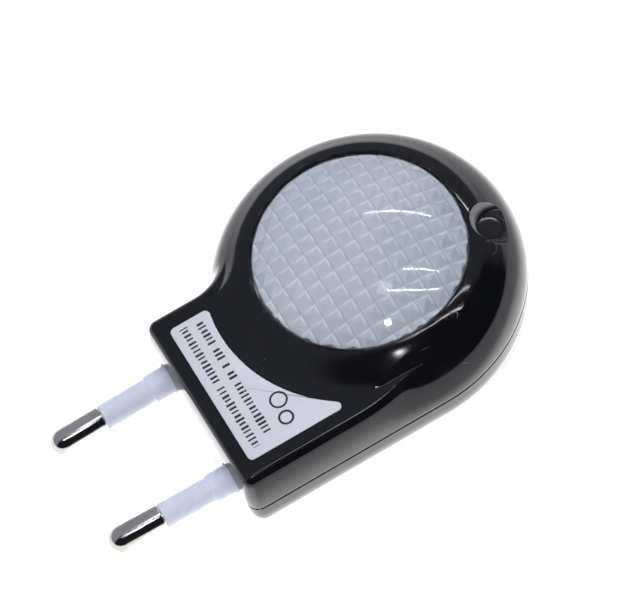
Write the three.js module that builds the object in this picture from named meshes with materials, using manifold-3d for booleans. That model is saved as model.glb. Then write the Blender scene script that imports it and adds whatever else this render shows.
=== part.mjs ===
// A plug-in sensor night light: a black two-part shell with a domed prismatic diffuser,
// a recessed light sensor, a two-pin mains plug, and the circuit that the shell holds.
//
// Millimetres. The origin is the middle of the plug face, halfway between the two pins.
// +X runs across the pins, +Y runs from the pins to the round head, and +Z leaves through
// the diffuser. The pins lie in the plane z = 0, where the two shells meet.

import * as THREE from 'three';
import { mergeVertices } from 'three/addons/utils/BufferGeometryUtils.js';
import Module from 'manifold-3d';

const wasm = await Module();
wasm.setup();

// ---------------------------------------------------------------- driving dimensions

// Shell
const NECK_HALF = 16.1; // half the width of the neck
const NECK_TOP = 7.2; // height of the flat neck above the pins
const HEAD_R = 23.2; // radius of the round head
const HEAD_X = NECK_HALF - HEAD_R; // one side of the neck runs on into the head
const HEAD_Y = 32.0; // distance of the head's centre from the plug face
const BACK_Z = -6.6; // the flat back
const WALL = 1.8; // wall thickness
const CORNER_R = 2.0; // upright corners of the plug end
const CROTCH_R = 6.0; // hollow corner where the neck meets the head
const SIDE_DRAFT = 0.1; // how far the neck's sides lean in, per millimetre of height
const EDGE_R = 1.7; // rounding of the neck's top edge
const EASE_LENGTH = 13; // length over which the straight side eases into the head
const EASE_PULL = 6; // how far the easing curve holds to its two ends
const BACK_ROUND = 3.6; // rounding of the back edge
const SEAM_TOP = -0.05; // lower edge of the front shell
const SEAM_BOTTOM = -0.25; // upper edge of the back shell
const ABOVE_ALL = 12; // a height that every upward cut runs past
const LIP_GAP = 0.35; // between the locating lip and the front shell's inner wall
const LIP_THICK = 0.7;

// Diffuser
const OPENING_R = 15.85; // opening in the head
const OPENING_Z = 9.5; // height of the opening's edge
const LENS_R = 15.6; // the diffuser where it passes the opening
const LENS_CROWN = 13.6; // top of the dome
const LENS_WALL = 1.6; // thickness of the dome
const FLANGE_R = 16.9; // rim that holds the diffuser inside the shell
const FLANGE_TOP = 7.2;
const FLANGE_BOTTOM = 6.4;

// Light sensor recess
const SENSOR_BEARING = 1.26; // radians, direction of the recess from the head's centre
const RECESS_RING = 19.95; // distance of the recess from the head's centre
const SENSOR_RING = 18.9; // distance of the window and the sensor from the head's centre
const RECESS_R = 3.6; // the round recess in the head
const RECESS_FLOOR = 6.0; // height of its floor at the middle
const RECESS_TILT = 0.3; // radians that the floor slopes down and outwards
const RECESS_WALL = 0.45; // thickness of the cup that carries it inside the shell
const CUP_BOTTOM = 3.5;
const WINDOW_R = 1.9; // smoked window in the floor
const WINDOW_BOTTOM = 3.7;

// Plug
const PIN_PITCH = 18.8; // between the pins at the plug face
const PIN_R = 2.0; // bare metal end
const PIN_CORE_R = 1.4; // the pin inside its sleeve
const PIN_TIP_Y = -19.6;
const PIN_SLEEVE_Y = -11.2; // where the sleeve ends and bare metal begins
const PIN_COLLAR_Y = -3.4; // where the sleeve starts to thicken towards the plug face
const PIN_TOE_IN = 0.018; // radians that each pin leans towards the other
const SLEEVE_R = 1.9;
const SLEEVE_COLLAR_R = 2.15;
const SLEEVE_BORE = 1.55;
const SLEEVE_FLANGE_R = 3.0;
const RIB_Y = 4.7; // the rib behind the sleeve flanges
const RIB_THICK = 1.3;
const RIB_HALF = 15; // half the rib's length across the neck
const RIB_TOP = 6;
const SLEEVE_PASSAGE_R = 2.45; // where a sleeve leaves the shell
const RIB_PASSAGE_R = 1.75; // where a pin passes the rib
const PASSAGE_LENGTH = 4;

// Rating label
const LABEL_LEFT = -12.2;
const LABEL_RIGHT = 12.4;
const LABEL_FOOT = 3.0; // distance of its straight edge from the plug face
const LABEL_ROUND = 0.8; // its corners
const LABEL_HOLLOW = 23.1; // radius of its edge towards the head, from the head's centre
const LABEL_LIFT = 0.02; // the glue under it
const LABEL_THICK = 0.12;

// Circuit board
const BOARD_R = 16.2;
const BOARD_BOTTOM = 0.75;
const BOARD_THICK = 1.2;
const BOARD_TOP = BOARD_BOTTOM + BOARD_THICK;
const BOARD_NECK_Y = 17.2; // the straight edge of the board, towards the plug
const POST_RING = 13.6; // distance of the board's posts from the head's centre
const POST_BEARINGS = [0.2, 2.2, 4.0]; // radians
const POST_R = 1.5;

// Light-emitting diodes
const LED_RING = 7.5; // distance from the head's centre
const LED_R = 2.3;
const LED_COLLAR_R = 2.7;
const LED_COLLAR_THICK = 0.8;
const LED_STRAIGHT = 2.6; // from its seat to the start of the dome
const LED_DOME = 2.0;

// Screws and their bosses
const SCREW_R = 1.1;
const SCREW_HEAD_R = 2.1;
const SCREW_HEAD_THICK = 1.5;
const SCREW_TOP = 3.6;
const BOSS_R = 2.4;
const BOSS_TOP = 6.1;
const BOSS_FOOT_R = 3.4;
const SCREW_CLEARANCE = 0.25;
const HEAD_CLEARANCE = 0.3; // round a screw's head, and round a boss
const SCREW_SINK = 2.3; // depth of the well for a screw's head
const SCREW_RING = 16.6; // distance of the two head screws from the head's centre
const SCREW_ANGLE = 0.45; // radians above the line across the head
const SCREW_PLACES = [
  [0, 10.4],
  [HEAD_X + SCREW_RING * Math.cos(SCREW_ANGLE), HEAD_Y + SCREW_RING * Math.sin(SCREW_ANGLE)],
  [HEAD_X - SCREW_RING * Math.cos(SCREW_ANGLE), HEAD_Y + SCREW_RING * Math.sin(SCREW_ANGLE)],
];

// A place on the line from the head's centre towards the light sensor.
const towardsSensor = (ring) => [
  HEAD_X + ring * Math.cos(SENSOR_BEARING),
  HEAD_Y + ring * Math.sin(SENSOR_BEARING),
];

// ---------------------------------------------------------------- colours and finishes

const material = (color, roughness, metalness = 0) =>
  new THREE.MeshStandardMaterial({ color, roughness, metalness });
const blackGloss = material(0x15161a, 0.12);
const smokedPlastic = material(0x0c0c10, 0.1);
const milkyPlastic = material(0xb9c2cf, 0.15);
const sleevePlastic = material(0xe4e4f2, 0.35);
const nickel = material(0xc9c5bd, 0.2, 1);
const labelStock = material(0xc9ccd8, 0.3);
const boardLaminate = material(0xd9d2b8, 0.6);
const ledEpoxy = material(0xf2f3ee, 0.15);
const sensorEpoxy = material(0x20232b, 0.2);
const capacitorRed = material(0x9c2f22, 0.35);
const capacitorSleeve = material(0x1d2a44, 0.4);
const mouldedBlack = material(0x17171a, 0.5);
const resistorBody = material(0xb79a6c, 0.5);
const screwSteel = material(0x8d9095, 0.35, 1);
const wireRed = material(0xa02a25, 0.5);
const wireBlack = material(0x1c1c1e, 0.5);

// ---------------------------------------------------------------- solids

// A closed geometry as a solid that can be joined and cut.
function solid(geometry) {
  const bare = geometry.index ? geometry.toNonIndexed() : geometry.clone();
  bare.deleteAttribute('normal');
  bare.deleteAttribute('uv');
  const merged = mergeVertices(bare, 1e-5);
  return new wasm.Manifold(
    new wasm.Mesh({
      numProp: 3,
      vertProperties: new Float32Array(merged.attributes.position.array),
      triVerts: new Uint32Array(merged.index.array),
    }),
  );
}

// A solid as a named mesh.
function piece(name, body, look) {
  const result = body.getMesh();
  const geometry = new THREE.BufferGeometry();
  geometry.setAttribute('position', new THREE.BufferAttribute(result.vertProperties, 3));
  geometry.setIndex(new THREE.BufferAttribute(result.triVerts, 1));
  const shaped = geometry.toNonIndexed();
  shaped.computeVertexNormals();
  const mesh = new THREE.Mesh(shaped, look);
  mesh.name = name;
  return mesh;
}

// A box from its lowest corner to its highest.
function box(low, high) {
  const size = high.map((value, i) => value - low[i]);
  const geometry = new THREE.BoxGeometry(...size);
  geometry.translate(...low.map((value, i) => value + size[i] / 2));
  return solid(geometry);
}

// A shape of revolution about an upright axis at (x, y), from [radius, z] points.
function turned(profile, segments, x = 0, y = 0) {
  const points = profile.map(([r, z]) => new THREE.Vector2(r, z));
  const geometry = new THREE.LatheGeometry(points, segments);
  geometry.rotateX(Math.PI / 2);
  geometry.translate(x, y, 0);
  return solid(geometry);
}

// An upright cylinder.
function rod(radius, bottom, top, x, y, segments = 20) {
  return turned([[0, bottom], [radius, bottom], [radius, top], [0, top]], segments, x, y);
}

// An outline extruded between two heights, with its edges rounded if asked.
function slab(shape, bottom, top, round = 0, curveSegments = 10) {
  const geometry = new THREE.ExtrudeGeometry(shape, {
    depth: top - bottom - 2 * round,
    bevelEnabled: round > 0,
    bevelThickness: round,
    bevelSize: round,
    bevelOffset: -round,
    bevelSegments: 5,
    curveSegments,
  });
  geometry.translate(0, 0, bottom + round);
  return solid(geometry);
}

// ---------------------------------------------------------------- the shell's outline

// The neck and the head seen from above, each moved in by an inset of its own.
// One side of the neck eases over into the head; a hollow corner joins the other side to it.
function bodyOutline(neckInset, headInset = neckInset) {
  const half = NECK_HALF - neckInset;
  const round = HEAD_R - headInset;
  const corner = Math.max(CORNER_R - neckInset, 0.4);
  const crotch = CROTCH_R + (neckInset + headInset) / 2;
  const crotchX = -half - crotch;
  const crotchY = HEAD_Y - Math.sqrt((round + crotch) ** 2 - (HEAD_X - crotchX) ** 2);
  const toHead = Math.atan2(HEAD_Y - crotchY, HEAD_X - crotchX);
  const shape = new THREE.Shape();
  shape.moveTo(-half + corner, neckInset);
  shape.lineTo(half - corner, neckInset);
  shape.absarc(half - corner, neckInset + corner, corner, -Math.PI / 2, 0, false);
  shape.lineTo(half, HEAD_Y - EASE_LENGTH);
  const pullY = HEAD_Y - EASE_PULL;
  shape.bezierCurveTo(half, pullY, HEAD_X + round, pullY, HEAD_X + round, HEAD_Y);
  shape.absarc(HEAD_X, HEAD_Y, round, 0, Math.PI / 2, false);
  shape.absarc(HEAD_X, HEAD_Y, round, Math.PI / 2, Math.PI, false);
  shape.absarc(HEAD_X, HEAD_Y, round, Math.PI, toHead + Math.PI, false);
  shape.absarc(crotchX, crotchY, crotch, toHead, 0, true);
  shape.lineTo(-half, neckInset + corner);
  shape.absarc(-half + corner, neckInset + corner, corner, Math.PI, 1.5 * Math.PI, false);
  return shape;
}

// The outline as a ring of points, each corner of the path given once.
function outlineRing(neckInset, headInset) {
  const points = bodyOutline(neckInset, headInset).getPoints(6);
  return points.filter((point, i) => point.distanceTo(points.at(i - 1)) > 1e-4);
}

// The body's outline carried up through layers, each [height, neck inset, head inset].
// A plain extrusion gives the mesh, and its rings of points then move to their own outline.
function layered(layers) {
  const rings = layers.map(([, neck, head]) => outlineRing(neck, head));
  const steps = layers.length - 1;
  const geometry = new THREE.ExtrudeGeometry(new THREE.Shape(rings[0]), {
    depth: steps,
    steps,
    bevelEnabled: false,
  });
  const at = geometry.attributes.position;
  for (let i = 0; i < at.count; i += 1) {
    const here = new THREE.Vector2(at.getX(i), at.getY(i));
    const layer = Math.round(at.getZ(i));
    const index = rings[0].findIndex((point) => point.distanceTo(here) < 1e-4);
    at.setXYZ(i, rings[layer][index].x, rings[layer][index].y, layers[layer][0]);
  }
  return solid(geometry);
}

// Outer side of the head from the seam to the opening, as [radius, z].
const headSide = [
  [HEAD_R, -1],
  [HEAD_R, 0.4],
  [23.1, 2.0],
  [22.5, 3.4],
  [21.8, 4.7],
  [20.9, 6.1],
  [19.5, 7.6],
  [17.5, 8.9],
  [OPENING_R, OPENING_Z],
];

// How far the head's side has moved in at a height.
function headLean(z) {
  const above = headSide.findIndex((point) => point[1] >= z);
  const [r1, z1] = headSide[above];
  const [r0, z0] = headSide[above - 1];
  return HEAD_R - r0 - ((r1 - r0) * (z - z0)) / (z1 - z0);
}

// How far the neck's side has moved in at a height: a steady lean, then the rounded edge.
function neckLean(z, top) {
  const up = Math.min(Math.max(z - (top - EDGE_R), 0), EDGE_R);
  return SIDE_DRAFT * Math.max(z, 0) + EDGE_R - Math.sqrt(EDGE_R ** 2 - up ** 2);
}

// ---------------------------------------------------------------- front shell

// The upper half of the whole body, up to the flat top of the neck.
// Under the head it stays a little inside the turned head, which is added to it.
function neckUpper() {
  const inside = 0.15;
  const heights = [-1, 2.0, 3.4, 4.7, 5.5, 6.3, 6.85, 7.12, NECK_TOP];
  const layer = (z) => [z, neckLean(z, NECK_TOP), headLean(Math.max(z, 0)) + inside];
  return layered(heights.map(layer));
}

function headUpper() {
  return turned([[0, -1], ...headSide, [0, OPENING_Z]], 72, HEAD_X, HEAD_Y);
}

// The hollow under the neck, a wall's thickness inside it all round.
function neckHollow() {
  const heights = [-2, 2.0, 3.4, NECK_TOP - WALL];
  const headWall = WALL + 0.2;
  const layer = (z) => {
    const above = Math.max(z, 0);
    return [z, WALL + SIDE_DRAFT * above, headLean(above) + headWall];
  };
  return layered(heights.map(layer));
}

// The hollow inside the head: it follows the outer side, then leaves a lip for the diffuser.
function headHollow() {
  const roof = FLANGE_TOP + 0.3;
  const profile = [
    [0, -1],
    [HEAD_R - WALL, -1],
    [HEAD_R - WALL - 0.1, 1.7],
    [20.3, 3.6],
    [19.2, 5.0],
    [17.7, 6.4],
    [FLANGE_R + 0.3, roof],
    [0, roof],
  ];
  return turned(profile, 72, HEAD_X, HEAD_Y);
}

// The round notches where the sleeves leave the shell, and the narrower ones in the rib.
function pinPassages() {
  const passages = [];
  for (const side of [-1, 1]) {
    for (const [radius, y] of [[SLEEVE_PASSAGE_R, 0], [RIB_PASSAGE_R, RIB_Y + 1]]) {
      const passage = new THREE.CylinderGeometry(radius, radius, PASSAGE_LENGTH, 24);
      passage.translate((side * PIN_PITCH) / 2, y, 0);
      passages.push(solid(passage));
    }
  }
  return wasm.Manifold.union(passages);
}

// Everything above the sloping floor of the sensor recess.
function aboveRecessFloor() {
  const block = new THREE.BoxGeometry(20, 20, 10);
  block.translate(0, 0, 5);
  block.rotateX(-RECESS_TILT);
  block.rotateZ(SENSOR_BEARING - Math.PI / 2);
  block.translate(...towardsSensor(RECESS_RING), RECESS_FLOOR);
  return solid(block);
}

// The sensor recess: a cup under the head's skin, hollowed down to its floor, and a window bore.
function withSensorRecess(shell) {
  const place = towardsSensor(RECESS_RING);
  const cup = rod(RECESS_R + RECESS_WALL, CUP_BOTTOM, ABOVE_ALL, ...place, 32);
  const recess = rod(RECESS_R, 0, ABOVE_ALL, ...place, 32).intersect(aboveRecessFloor());
  const boreR = WINDOW_R + 0.25;
  const bore = rod(boreR, CUP_BOTTOM - 1, ABOVE_ALL, ...towardsSensor(SENSOR_RING));
  return shell.add(cup.intersect(headUpper())).subtract(recess).subtract(bore);
}

function frontShell() {
  let body = neckUpper().add(headUpper());
  body = body.subtract(neckHollow()).subtract(headHollow());
  body = body.subtract(rod(OPENING_R, 0, ABOVE_ALL, HEAD_X, HEAD_Y, 72));
  body = body.add(box([-RIB_HALF, RIB_Y, -2], [RIB_HALF, RIB_Y + RIB_THICK, RIB_TOP]));
  for (const [x, y] of SCREW_PLACES) {
    const boss = rod(BOSS_R, SEAM_TOP - 1, BOSS_TOP, x, y);
    const bore = rod(SCREW_R + SCREW_CLEARANCE, -3, SCREW_TOP + 0.3, x, y, 12);
    body = body.add(boss).subtract(bore);
  }
  body = body.subtract(pinPassages());
  body = withSensorRecess(body);
  return body.subtract(box([-60, -60, -20], [60, 80, SEAM_TOP]));
}

// ---------------------------------------------------------------- back shell

// The upright lip that slides inside the front shell and keeps the two in line.
function locatingLip() {
  const foot = slab(bodyOutline(WALL - 0.3), -2, SEAM_BOTTOM, 0, 6);
  const outer = slab(bodyOutline(WALL + LIP_GAP), -1.5, 1.0, 0, 6).add(foot);
  const inner = slab(bodyOutline(WALL + LIP_GAP + LIP_THICK), -3, 2.0, 0, 6);
  const plugEnd = box([-30, -5, -3], [30, 16, 3]);
  const [sensorX, sensorY] = towardsSensor(SENSOR_RING);
  const sensorGap = box([sensorX - 3.5, sensorY - 5, -3], [sensorX + 3.5, 60, 3]);
  return outer.subtract(inner).subtract(plugEnd).subtract(sensorGap);
}

// The lower half of the body, its back edge rounded in a quarter circle.
function backOuter() {
  const layers = [];
  for (let i = 0; i <= 4; i += 1) {
    const angle = (i / 4) * (Math.PI / 2);
    const inset = BACK_ROUND * (1 - Math.sin(angle));
    layers.push([BACK_Z + BACK_ROUND * (1 - Math.cos(angle)), inset, inset]);
  }
  layers.push([SEAM_BOTTOM, 0, 0]);
  return layered(layers);
}

function backHollow() {
  const floor = BACK_Z + WALL;
  const layers = [
    [floor, 4.2],
    [floor + 0.5, 2.9],
    [floor + 1.8, WALL],
    [floor + ABOVE_ALL, WALL],
  ];
  return layered(layers.map(([z, inset]) => [z, inset, inset]));
}

function backShell() {
  const floor = BACK_Z + WALL;
  let body = backOuter().subtract(backHollow());
  const sunk = floor - 0.5;
  body = body.add(box([-RIB_HALF, RIB_Y, sunk], [RIB_HALF, RIB_Y + RIB_THICK, SEAM_BOTTOM]));
  for (const bearing of POST_BEARINGS) {
    const x = HEAD_X + POST_RING * Math.cos(bearing);
    const y = HEAD_Y + POST_RING * Math.sin(bearing);
    body = body.add(rod(POST_R, sunk, BOARD_BOTTOM - 0.2, x, y, 16));
  }
  for (const [x, y] of SCREW_PLACES) {
    body = body.add(rod(BOSS_FOOT_R, BACK_Z + 1, SEAM_BOTTOM, x, y));
  }
  body = body.add(locatingLip());
  for (const [x, y] of SCREW_PLACES) {
    const wellR = SCREW_HEAD_R + HEAD_CLEARANCE;
    body = body.subtract(rod(BOSS_R + HEAD_CLEARANCE, SEAM_BOTTOM, 4, x, y));
    body = body.subtract(rod(SCREW_R + SCREW_CLEARANCE, BACK_Z - 1, 2, x, y, 12));
    body = body.subtract(rod(wellR, BACK_Z - 1, BACK_Z + SCREW_SINK, x, y));
  }
  return body.subtract(pinPassages());
}

// ---------------------------------------------------------------- diffuser, window, label

// The dome as a cap of a sphere between two radii from its top.
function domeProfile(rim, rimZ, crownZ, steps) {
  const rise = crownZ - rimZ;
  const ball = (rim * rim + rise * rise) / (2 * rise);
  const points = [];
  for (let i = 0; i <= steps; i += 1) {
    const r = (rim * i) / steps;
    points.push([r, crownZ - ball + Math.sqrt(ball * ball - r * r)]);
  }
  return points;
}

function diffuserLens() {
  const outer = domeProfile(LENS_R, OPENING_Z, LENS_CROWN, 6);
  const innerRim = LENS_R - LENS_WALL;
  const inner = domeProfile(innerRim, OPENING_Z - 1.3, LENS_CROWN - LENS_WALL, 4);
  const rim = [
    [LENS_R, FLANGE_TOP],
    [FLANGE_R, FLANGE_TOP],
    [FLANGE_R, FLANGE_BOTTOM],
    [innerRim, FLANGE_BOTTOM],
  ];
  const profile = [...outer, ...rim, ...inner.reverse()].reverse();
  const cupR = RECESS_R + RECESS_WALL + 0.25;
  const clearance = rod(cupR, 0, 8, ...towardsSensor(RECESS_RING), 32);
  return turned(profile, 48, HEAD_X, HEAD_Y).subtract(clearance);
}

// The smoked window, flush with the sloping floor of the recess.
function sensorWindow() {
  const plug = rod(WINDOW_R, WINDOW_BOTTOM, ABOVE_ALL, ...towardsSensor(SENSOR_RING));
  return plug.subtract(aboveRecessFloor());
}

// The label: straight along the plug end and sides, hollow towards the head.
function ratingLabel() {
  const shape = new THREE.Shape();
  const innerRight = LABEL_RIGHT - LABEL_ROUND;
  const innerLeft = LABEL_LEFT + LABEL_ROUND;
  const rightTop = HEAD_Y - Math.sqrt(LABEL_HOLLOW ** 2 - (innerRight - HEAD_X) ** 2);
  const startAngle = Math.atan2(rightTop - HEAD_Y, innerRight - HEAD_X);
  const endAngle = Math.atan2(-22.4, LABEL_LEFT + 0.6 - HEAD_X);
  shape.moveTo(innerLeft, LABEL_FOOT);
  shape.lineTo(innerRight, LABEL_FOOT);
  shape.quadraticCurveTo(LABEL_RIGHT, LABEL_FOOT, LABEL_RIGHT, LABEL_FOOT + LABEL_ROUND);
  shape.lineTo(LABEL_RIGHT, rightTop);
  shape.quadraticCurveTo(LABEL_RIGHT, rightTop + 1, innerRight, rightTop);
  shape.absarc(HEAD_X, HEAD_Y, LABEL_HOLLOW, startAngle, endAngle, true);
  shape.quadraticCurveTo(LABEL_LEFT, 9.9, LABEL_LEFT, 9.0);
  shape.lineTo(LABEL_LEFT, LABEL_FOOT + LABEL_ROUND);
  shape.quadraticCurveTo(LABEL_LEFT, LABEL_FOOT, innerLeft, LABEL_FOOT);
  return slab(shape, NECK_TOP + LABEL_LIFT, NECK_TOP + LABEL_LIFT + LABEL_THICK);
}

// ---------------------------------------------------------------- plug

// A shape of revolution about the pin's own axis, from [radius, y] points.
function alongPin(profile, segments) {
  const points = profile.map(([r, y]) => new THREE.Vector2(r, y));
  return solid(new THREE.LatheGeometry(points, segments));
}

function plugPin() {
  const tip = [];
  for (let i = 0; i <= 5; i += 1) {
    const angle = (i / 5) * (Math.PI / 2);
    tip.push([PIN_R * Math.sin(angle), PIN_TIP_Y + PIN_R * (1 - Math.cos(angle))]);
  }
  const shank = [
    [PIN_R, PIN_SLEEVE_Y],
    [PIN_CORE_R, PIN_SLEEVE_Y],
    [PIN_CORE_R, 6.3],
    [2.3, 6.3],
    [2.3, 7.3],
    [1.1, 7.3],
    [1.1, 10.0],
    [0, 10.0],
  ];
  return alongPin([...tip, ...shank], 24);
}

function pinSleeve() {
  const profile = [
    [SLEEVE_BORE, PIN_SLEEVE_Y + 0.1],
    [SLEEVE_R, PIN_SLEEVE_Y + 0.1],
    [SLEEVE_R, PIN_COLLAR_Y],
    [SLEEVE_COLLAR_R, PIN_COLLAR_Y + 0.6],
    [SLEEVE_COLLAR_R, 2.3],
    [SLEEVE_FLANGE_R, 2.3],
    [SLEEVE_FLANGE_R, 4.2],
    [SLEEVE_BORE, 4.2],
    [SLEEVE_BORE, PIN_SLEEVE_Y + 0.1],
  ];
  return alongPin(profile, 24);
}

// Places a pin or sleeve at one side, leaning slightly towards its neighbour.
function onPlug(mesh, side) {
  mesh.position.set((side * PIN_PITCH) / 2, 0, 0);
  mesh.rotation.z = -side * PIN_TOE_IN;
  return mesh;
}

// ---------------------------------------------------------------- circuit

function circuitBoard() {
  const shape = new THREE.Shape();
  const cut = Math.asin((HEAD_Y - BOARD_NECK_Y) / BOARD_R);
  shape.absarc(HEAD_X, HEAD_Y, BOARD_R, -cut, Math.PI + cut, false);
  let board = slab(shape, BOARD_BOTTOM, BOARD_TOP, 0, 26);
  for (const [x, y] of SCREW_PLACES) {
    board = board.subtract(rod(BOSS_R + HEAD_CLEARANCE + 0.05, 0, 3, x, y));
  }
  return board;
}

// A light-emitting diode: a low collar, a straight body and a domed end.
function ledBody(x, y) {
  const seat = BOARD_TOP + 0.3;
  const profile = [
    [0, seat],
    [LED_COLLAR_R, seat],
    [LED_COLLAR_R, seat + LED_COLLAR_THICK],
    [LED_R, seat + LED_COLLAR_THICK],
  ];
  for (let i = 0; i <= 4; i += 1) {
    const angle = (i / 4) * (Math.PI / 2);
    const z = seat + LED_STRAIGHT + LED_DOME * Math.sin(angle);
    profile.push([LED_R * Math.cos(angle), z]);
  }
  profile[profile.length - 1][0] = 0;
  return turned(profile, 16, x, y);
}

// A round wire through a few points.
function wire(points, radius, steps, sides = 6) {
  const section = new THREE.Shape();
  section.absarc(0, 0, radius, 0, 2 * Math.PI, false);
  const path = new THREE.CatmullRomCurve3(points.map((p) => new THREE.Vector3(...p)));
  const geometry = new THREE.ExtrudeGeometry(section, {
    steps,
    extrudePath: path,
    curveSegments: sides / 2,
  });
  return solid(geometry);
}

// The sensor stands under its window, and its two legs run in below the board.
function lightSensor() {
  const out = [Math.cos(SENSOR_BEARING), Math.sin(SENSOR_BEARING)];
  const across = [-out[1], out[0]];
  const [x, y] = towardsSensor(SENSOR_RING);
  const profile = [[0, 0], [1.9, 0], [1.9, 0.6], [1.5, 0.6], [1.5, 2.2], [0, 3.0]];
  let body = turned(profile, 20, x, y);
  for (const side of [-0.8, 0.8]) {
    const legX = x + across[0] * side;
    const legY = y + across[1] * side;
    const legs = [
      [legX, legY, 0.3],
      [legX - out[0] * 0.3, legY - out[1] * 0.3, -0.3],
      [legX - out[0] * 3.2, legY - out[1] * 3.2, -0.4],
      [legX - out[0] * 4.2, legY - out[1] * 4.2, 0.4],
    ];
    body = body.add(wire(legs, 0.25, 7));
  }
  return body;
}

// A leaded part lying below the board: a body along Y and the two legs that reach the board.
function lyingPart(x, y, radius, length, legGap) {
  const z = BOARD_BOTTOM - 0.3 - radius;
  const barrel = new THREE.CylinderGeometry(radius, radius, length, 12);
  barrel.translate(x, y, z);
  let body = solid(barrel);
  for (const side of [-1, 1]) {
    const legs = [
      [x, y + side * (length / 2 - 0.3), z],
      [x, y + side * (legGap / 2 - 0.4), z],
      [x, y + side * (legGap / 2), z + 0.4],
      [x, y + side * (legGap / 2), BOARD_BOTTOM - 0.15],
    ];
    body = body.add(wire(legs, 0.3, 5));
  }
  return body;
}

// A boxed part below the board, with two short legs.
function boxedPart(x, y, width, length, height) {
  const top = BOARD_BOTTOM - 0.4;
  const half = [width / 2, length / 2];
  let body = box([x - half[0], y - half[1], top - height], [x + half[0], y + half[1], top]);
  for (const side of [-1, 1]) {
    const legY = y + side * (half[1] - 1.2);
    body = body.add(rod(0.35, top - 0.5, BOARD_BOTTOM - 0.1, x, legY, 8));
  }
  return body;
}

// A small moulded transistor: a flat-faced body and three legs.
function transistor(x, y) {
  const top = BOARD_BOTTOM - 0.6;
  const shape = new THREE.Shape();
  shape.absarc(x, y, 2.2, -0.6, Math.PI + 0.6, false);
  let body = slab(shape, top - 3.6, top);
  for (const offset of [-1.2, 0, 1.2]) {
    body = body.add(rod(0.25, top - 0.5, BOARD_BOTTOM - 0.1, x + offset, y, 8));
  }
  return body;
}

// A screw with a flat head and a crossed recess.
function shellScrew(x, y) {
  const slotHalf = 1.3;
  const slotWide = 0.3;
  const seat = BACK_Z + SCREW_SINK - 0.2;
  const profile = [
    [0, seat - SCREW_HEAD_THICK],
    [SCREW_HEAD_R, seat - SCREW_HEAD_THICK],
    [SCREW_HEAD_R, seat],
    [SCREW_R, seat],
    [SCREW_R, SCREW_TOP - 0.8],
    [0.4, SCREW_TOP],
    [0, SCREW_TOP],
  ];
  let body = turned(profile, 20, x, y);
  const low = seat - SCREW_HEAD_THICK - 1;
  const high = seat - SCREW_HEAD_THICK + 0.8;
  for (const [halfX, halfY] of [[slotHalf, slotWide], [slotWide, slotHalf]]) {
    body = body.subtract(box([x - halfX, y - halfY, low], [x + halfX, y + halfY, high]));
  }
  return body;
}

// ---------------------------------------------------------------- the assembly

const nightLight = new THREE.Group();

nightLight.add(piece('front_shell', frontShell(), blackGloss));
nightLight.add(piece('back_shell', backShell(), blackGloss));
nightLight.add(piece('diffuser_lens', diffuserLens(), milkyPlastic));
nightLight.add(piece('sensor_window', sensorWindow(), smokedPlastic));
nightLight.add(piece('rating_label', ratingLabel(), labelStock));

for (const [side, name] of [[-1, 'left'], [1, 'right']]) {
  nightLight.add(onPlug(piece(`plug_pin_${name}`, plugPin(), nickel), side));
  nightLight.add(onPlug(piece(`pin_sleeve_${name}`, pinSleeve(), sleevePlastic), side));
}

nightLight.add(piece('circuit_board', circuitBoard(), boardLaminate));
for (let i = 0; i < 4; i += 1) {
  const angle = ((i + 0.5) * Math.PI) / 2;
  const led = ledBody(HEAD_X + LED_RING * Math.cos(angle), HEAD_Y + LED_RING * Math.sin(angle));
  nightLight.add(piece(`led_${i + 1}`, led, ledEpoxy));
}
nightLight.add(piece('light_sensor', lightSensor(), sensorEpoxy));

const filmCapacitor = boxedPart(HEAD_X - 7.2, HEAD_Y - 1.5, 5.6, 12, 4.3);
nightLight.add(piece('film_capacitor', filmCapacitor, capacitorRed));

// The parts that lie below the board: place from the head's centre, radius, length, leg gap.
const lyingParts = [
  ['electrolytic_capacitor', 7.6, 1.0, 2.2, 8.5, 11, capacitorSleeve],
  ['rectifier_diode_1', -1.6, -7, 0.8, 3.4, 8, mouldedBlack],
  ['rectifier_diode_2', 0.6, -7, 0.8, 3.4, 8, mouldedBlack],
  ['rectifier_diode_3', -1.6, 4, 0.8, 3.4, 8, mouldedBlack],
  ['rectifier_diode_4', 0.6, 4, 0.8, 3.4, 8, mouldedBlack],
  ['fusible_resistor', 3.4, -9.2, 1.1, 4.2, 8.4, resistorBody],
  ['bleed_resistor', -11.6, 1.2, 0.9, 3.6, 7, resistorBody],
  ['led_resistor', 11.6, -2.2, 0.9, 3.6, 7, resistorBody],
  ['divider_resistor', 3.4, 9.0, 0.9, 3.6, 7, resistorBody],
];
for (const [name, x, y, radius, length, legGap, look] of lyingParts) {
  const body = lyingPart(HEAD_X + x, HEAD_Y + y, radius, length, legGap);
  nightLight.add(piece(name, body, look));
}
nightLight.add(piece('transistor', transistor(HEAD_X - 4.6, HEAD_Y + 9.6), mouldedBlack));

// The insulated leads, from each pin's tail to the board.
const LEAD_R = 0.6;
const leadPaths = [
  ['lead_wire_left', [[-9.4, 10.4, 0], [-9.6, 13.5, -0.3], [-11.5, 17.5, -0.6], [-12, 20, 0]], wireRed],
  ['lead_wire_right', [[9.4, 10.4, 0], [8.6, 14, -0.3], [4, 18, -0.8], [0.6, 20, 0]], wireBlack],
];
for (const [name, path, look] of leadPaths) {
  nightLight.add(piece(name, wire(path, LEAD_R, 14), look));
}

SCREW_PLACES.forEach(([x, y], i) => {
  nightLight.add(piece(`shell_screw_${i + 1}`, shellScrew(x, y), screwSteel));
});

export default nightLight;
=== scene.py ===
# %% [markdown]
# # A plug-in sensor night light
#
# A small black lamp that lives in a wall socket: two pins, a flat neck that carries the rating
# label, and a round head with a domed prismatic diffuser. A light sensor looks out of a scoop
# in the bezel. The frame below holds every part at its real size and place, so this lesson only
# makes the surfaces fine: each visible piece is a formula on a grid, worked out with numpy.
#
# Everything is written in millimetres, and becomes metres once, when a mesh is made.

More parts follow.
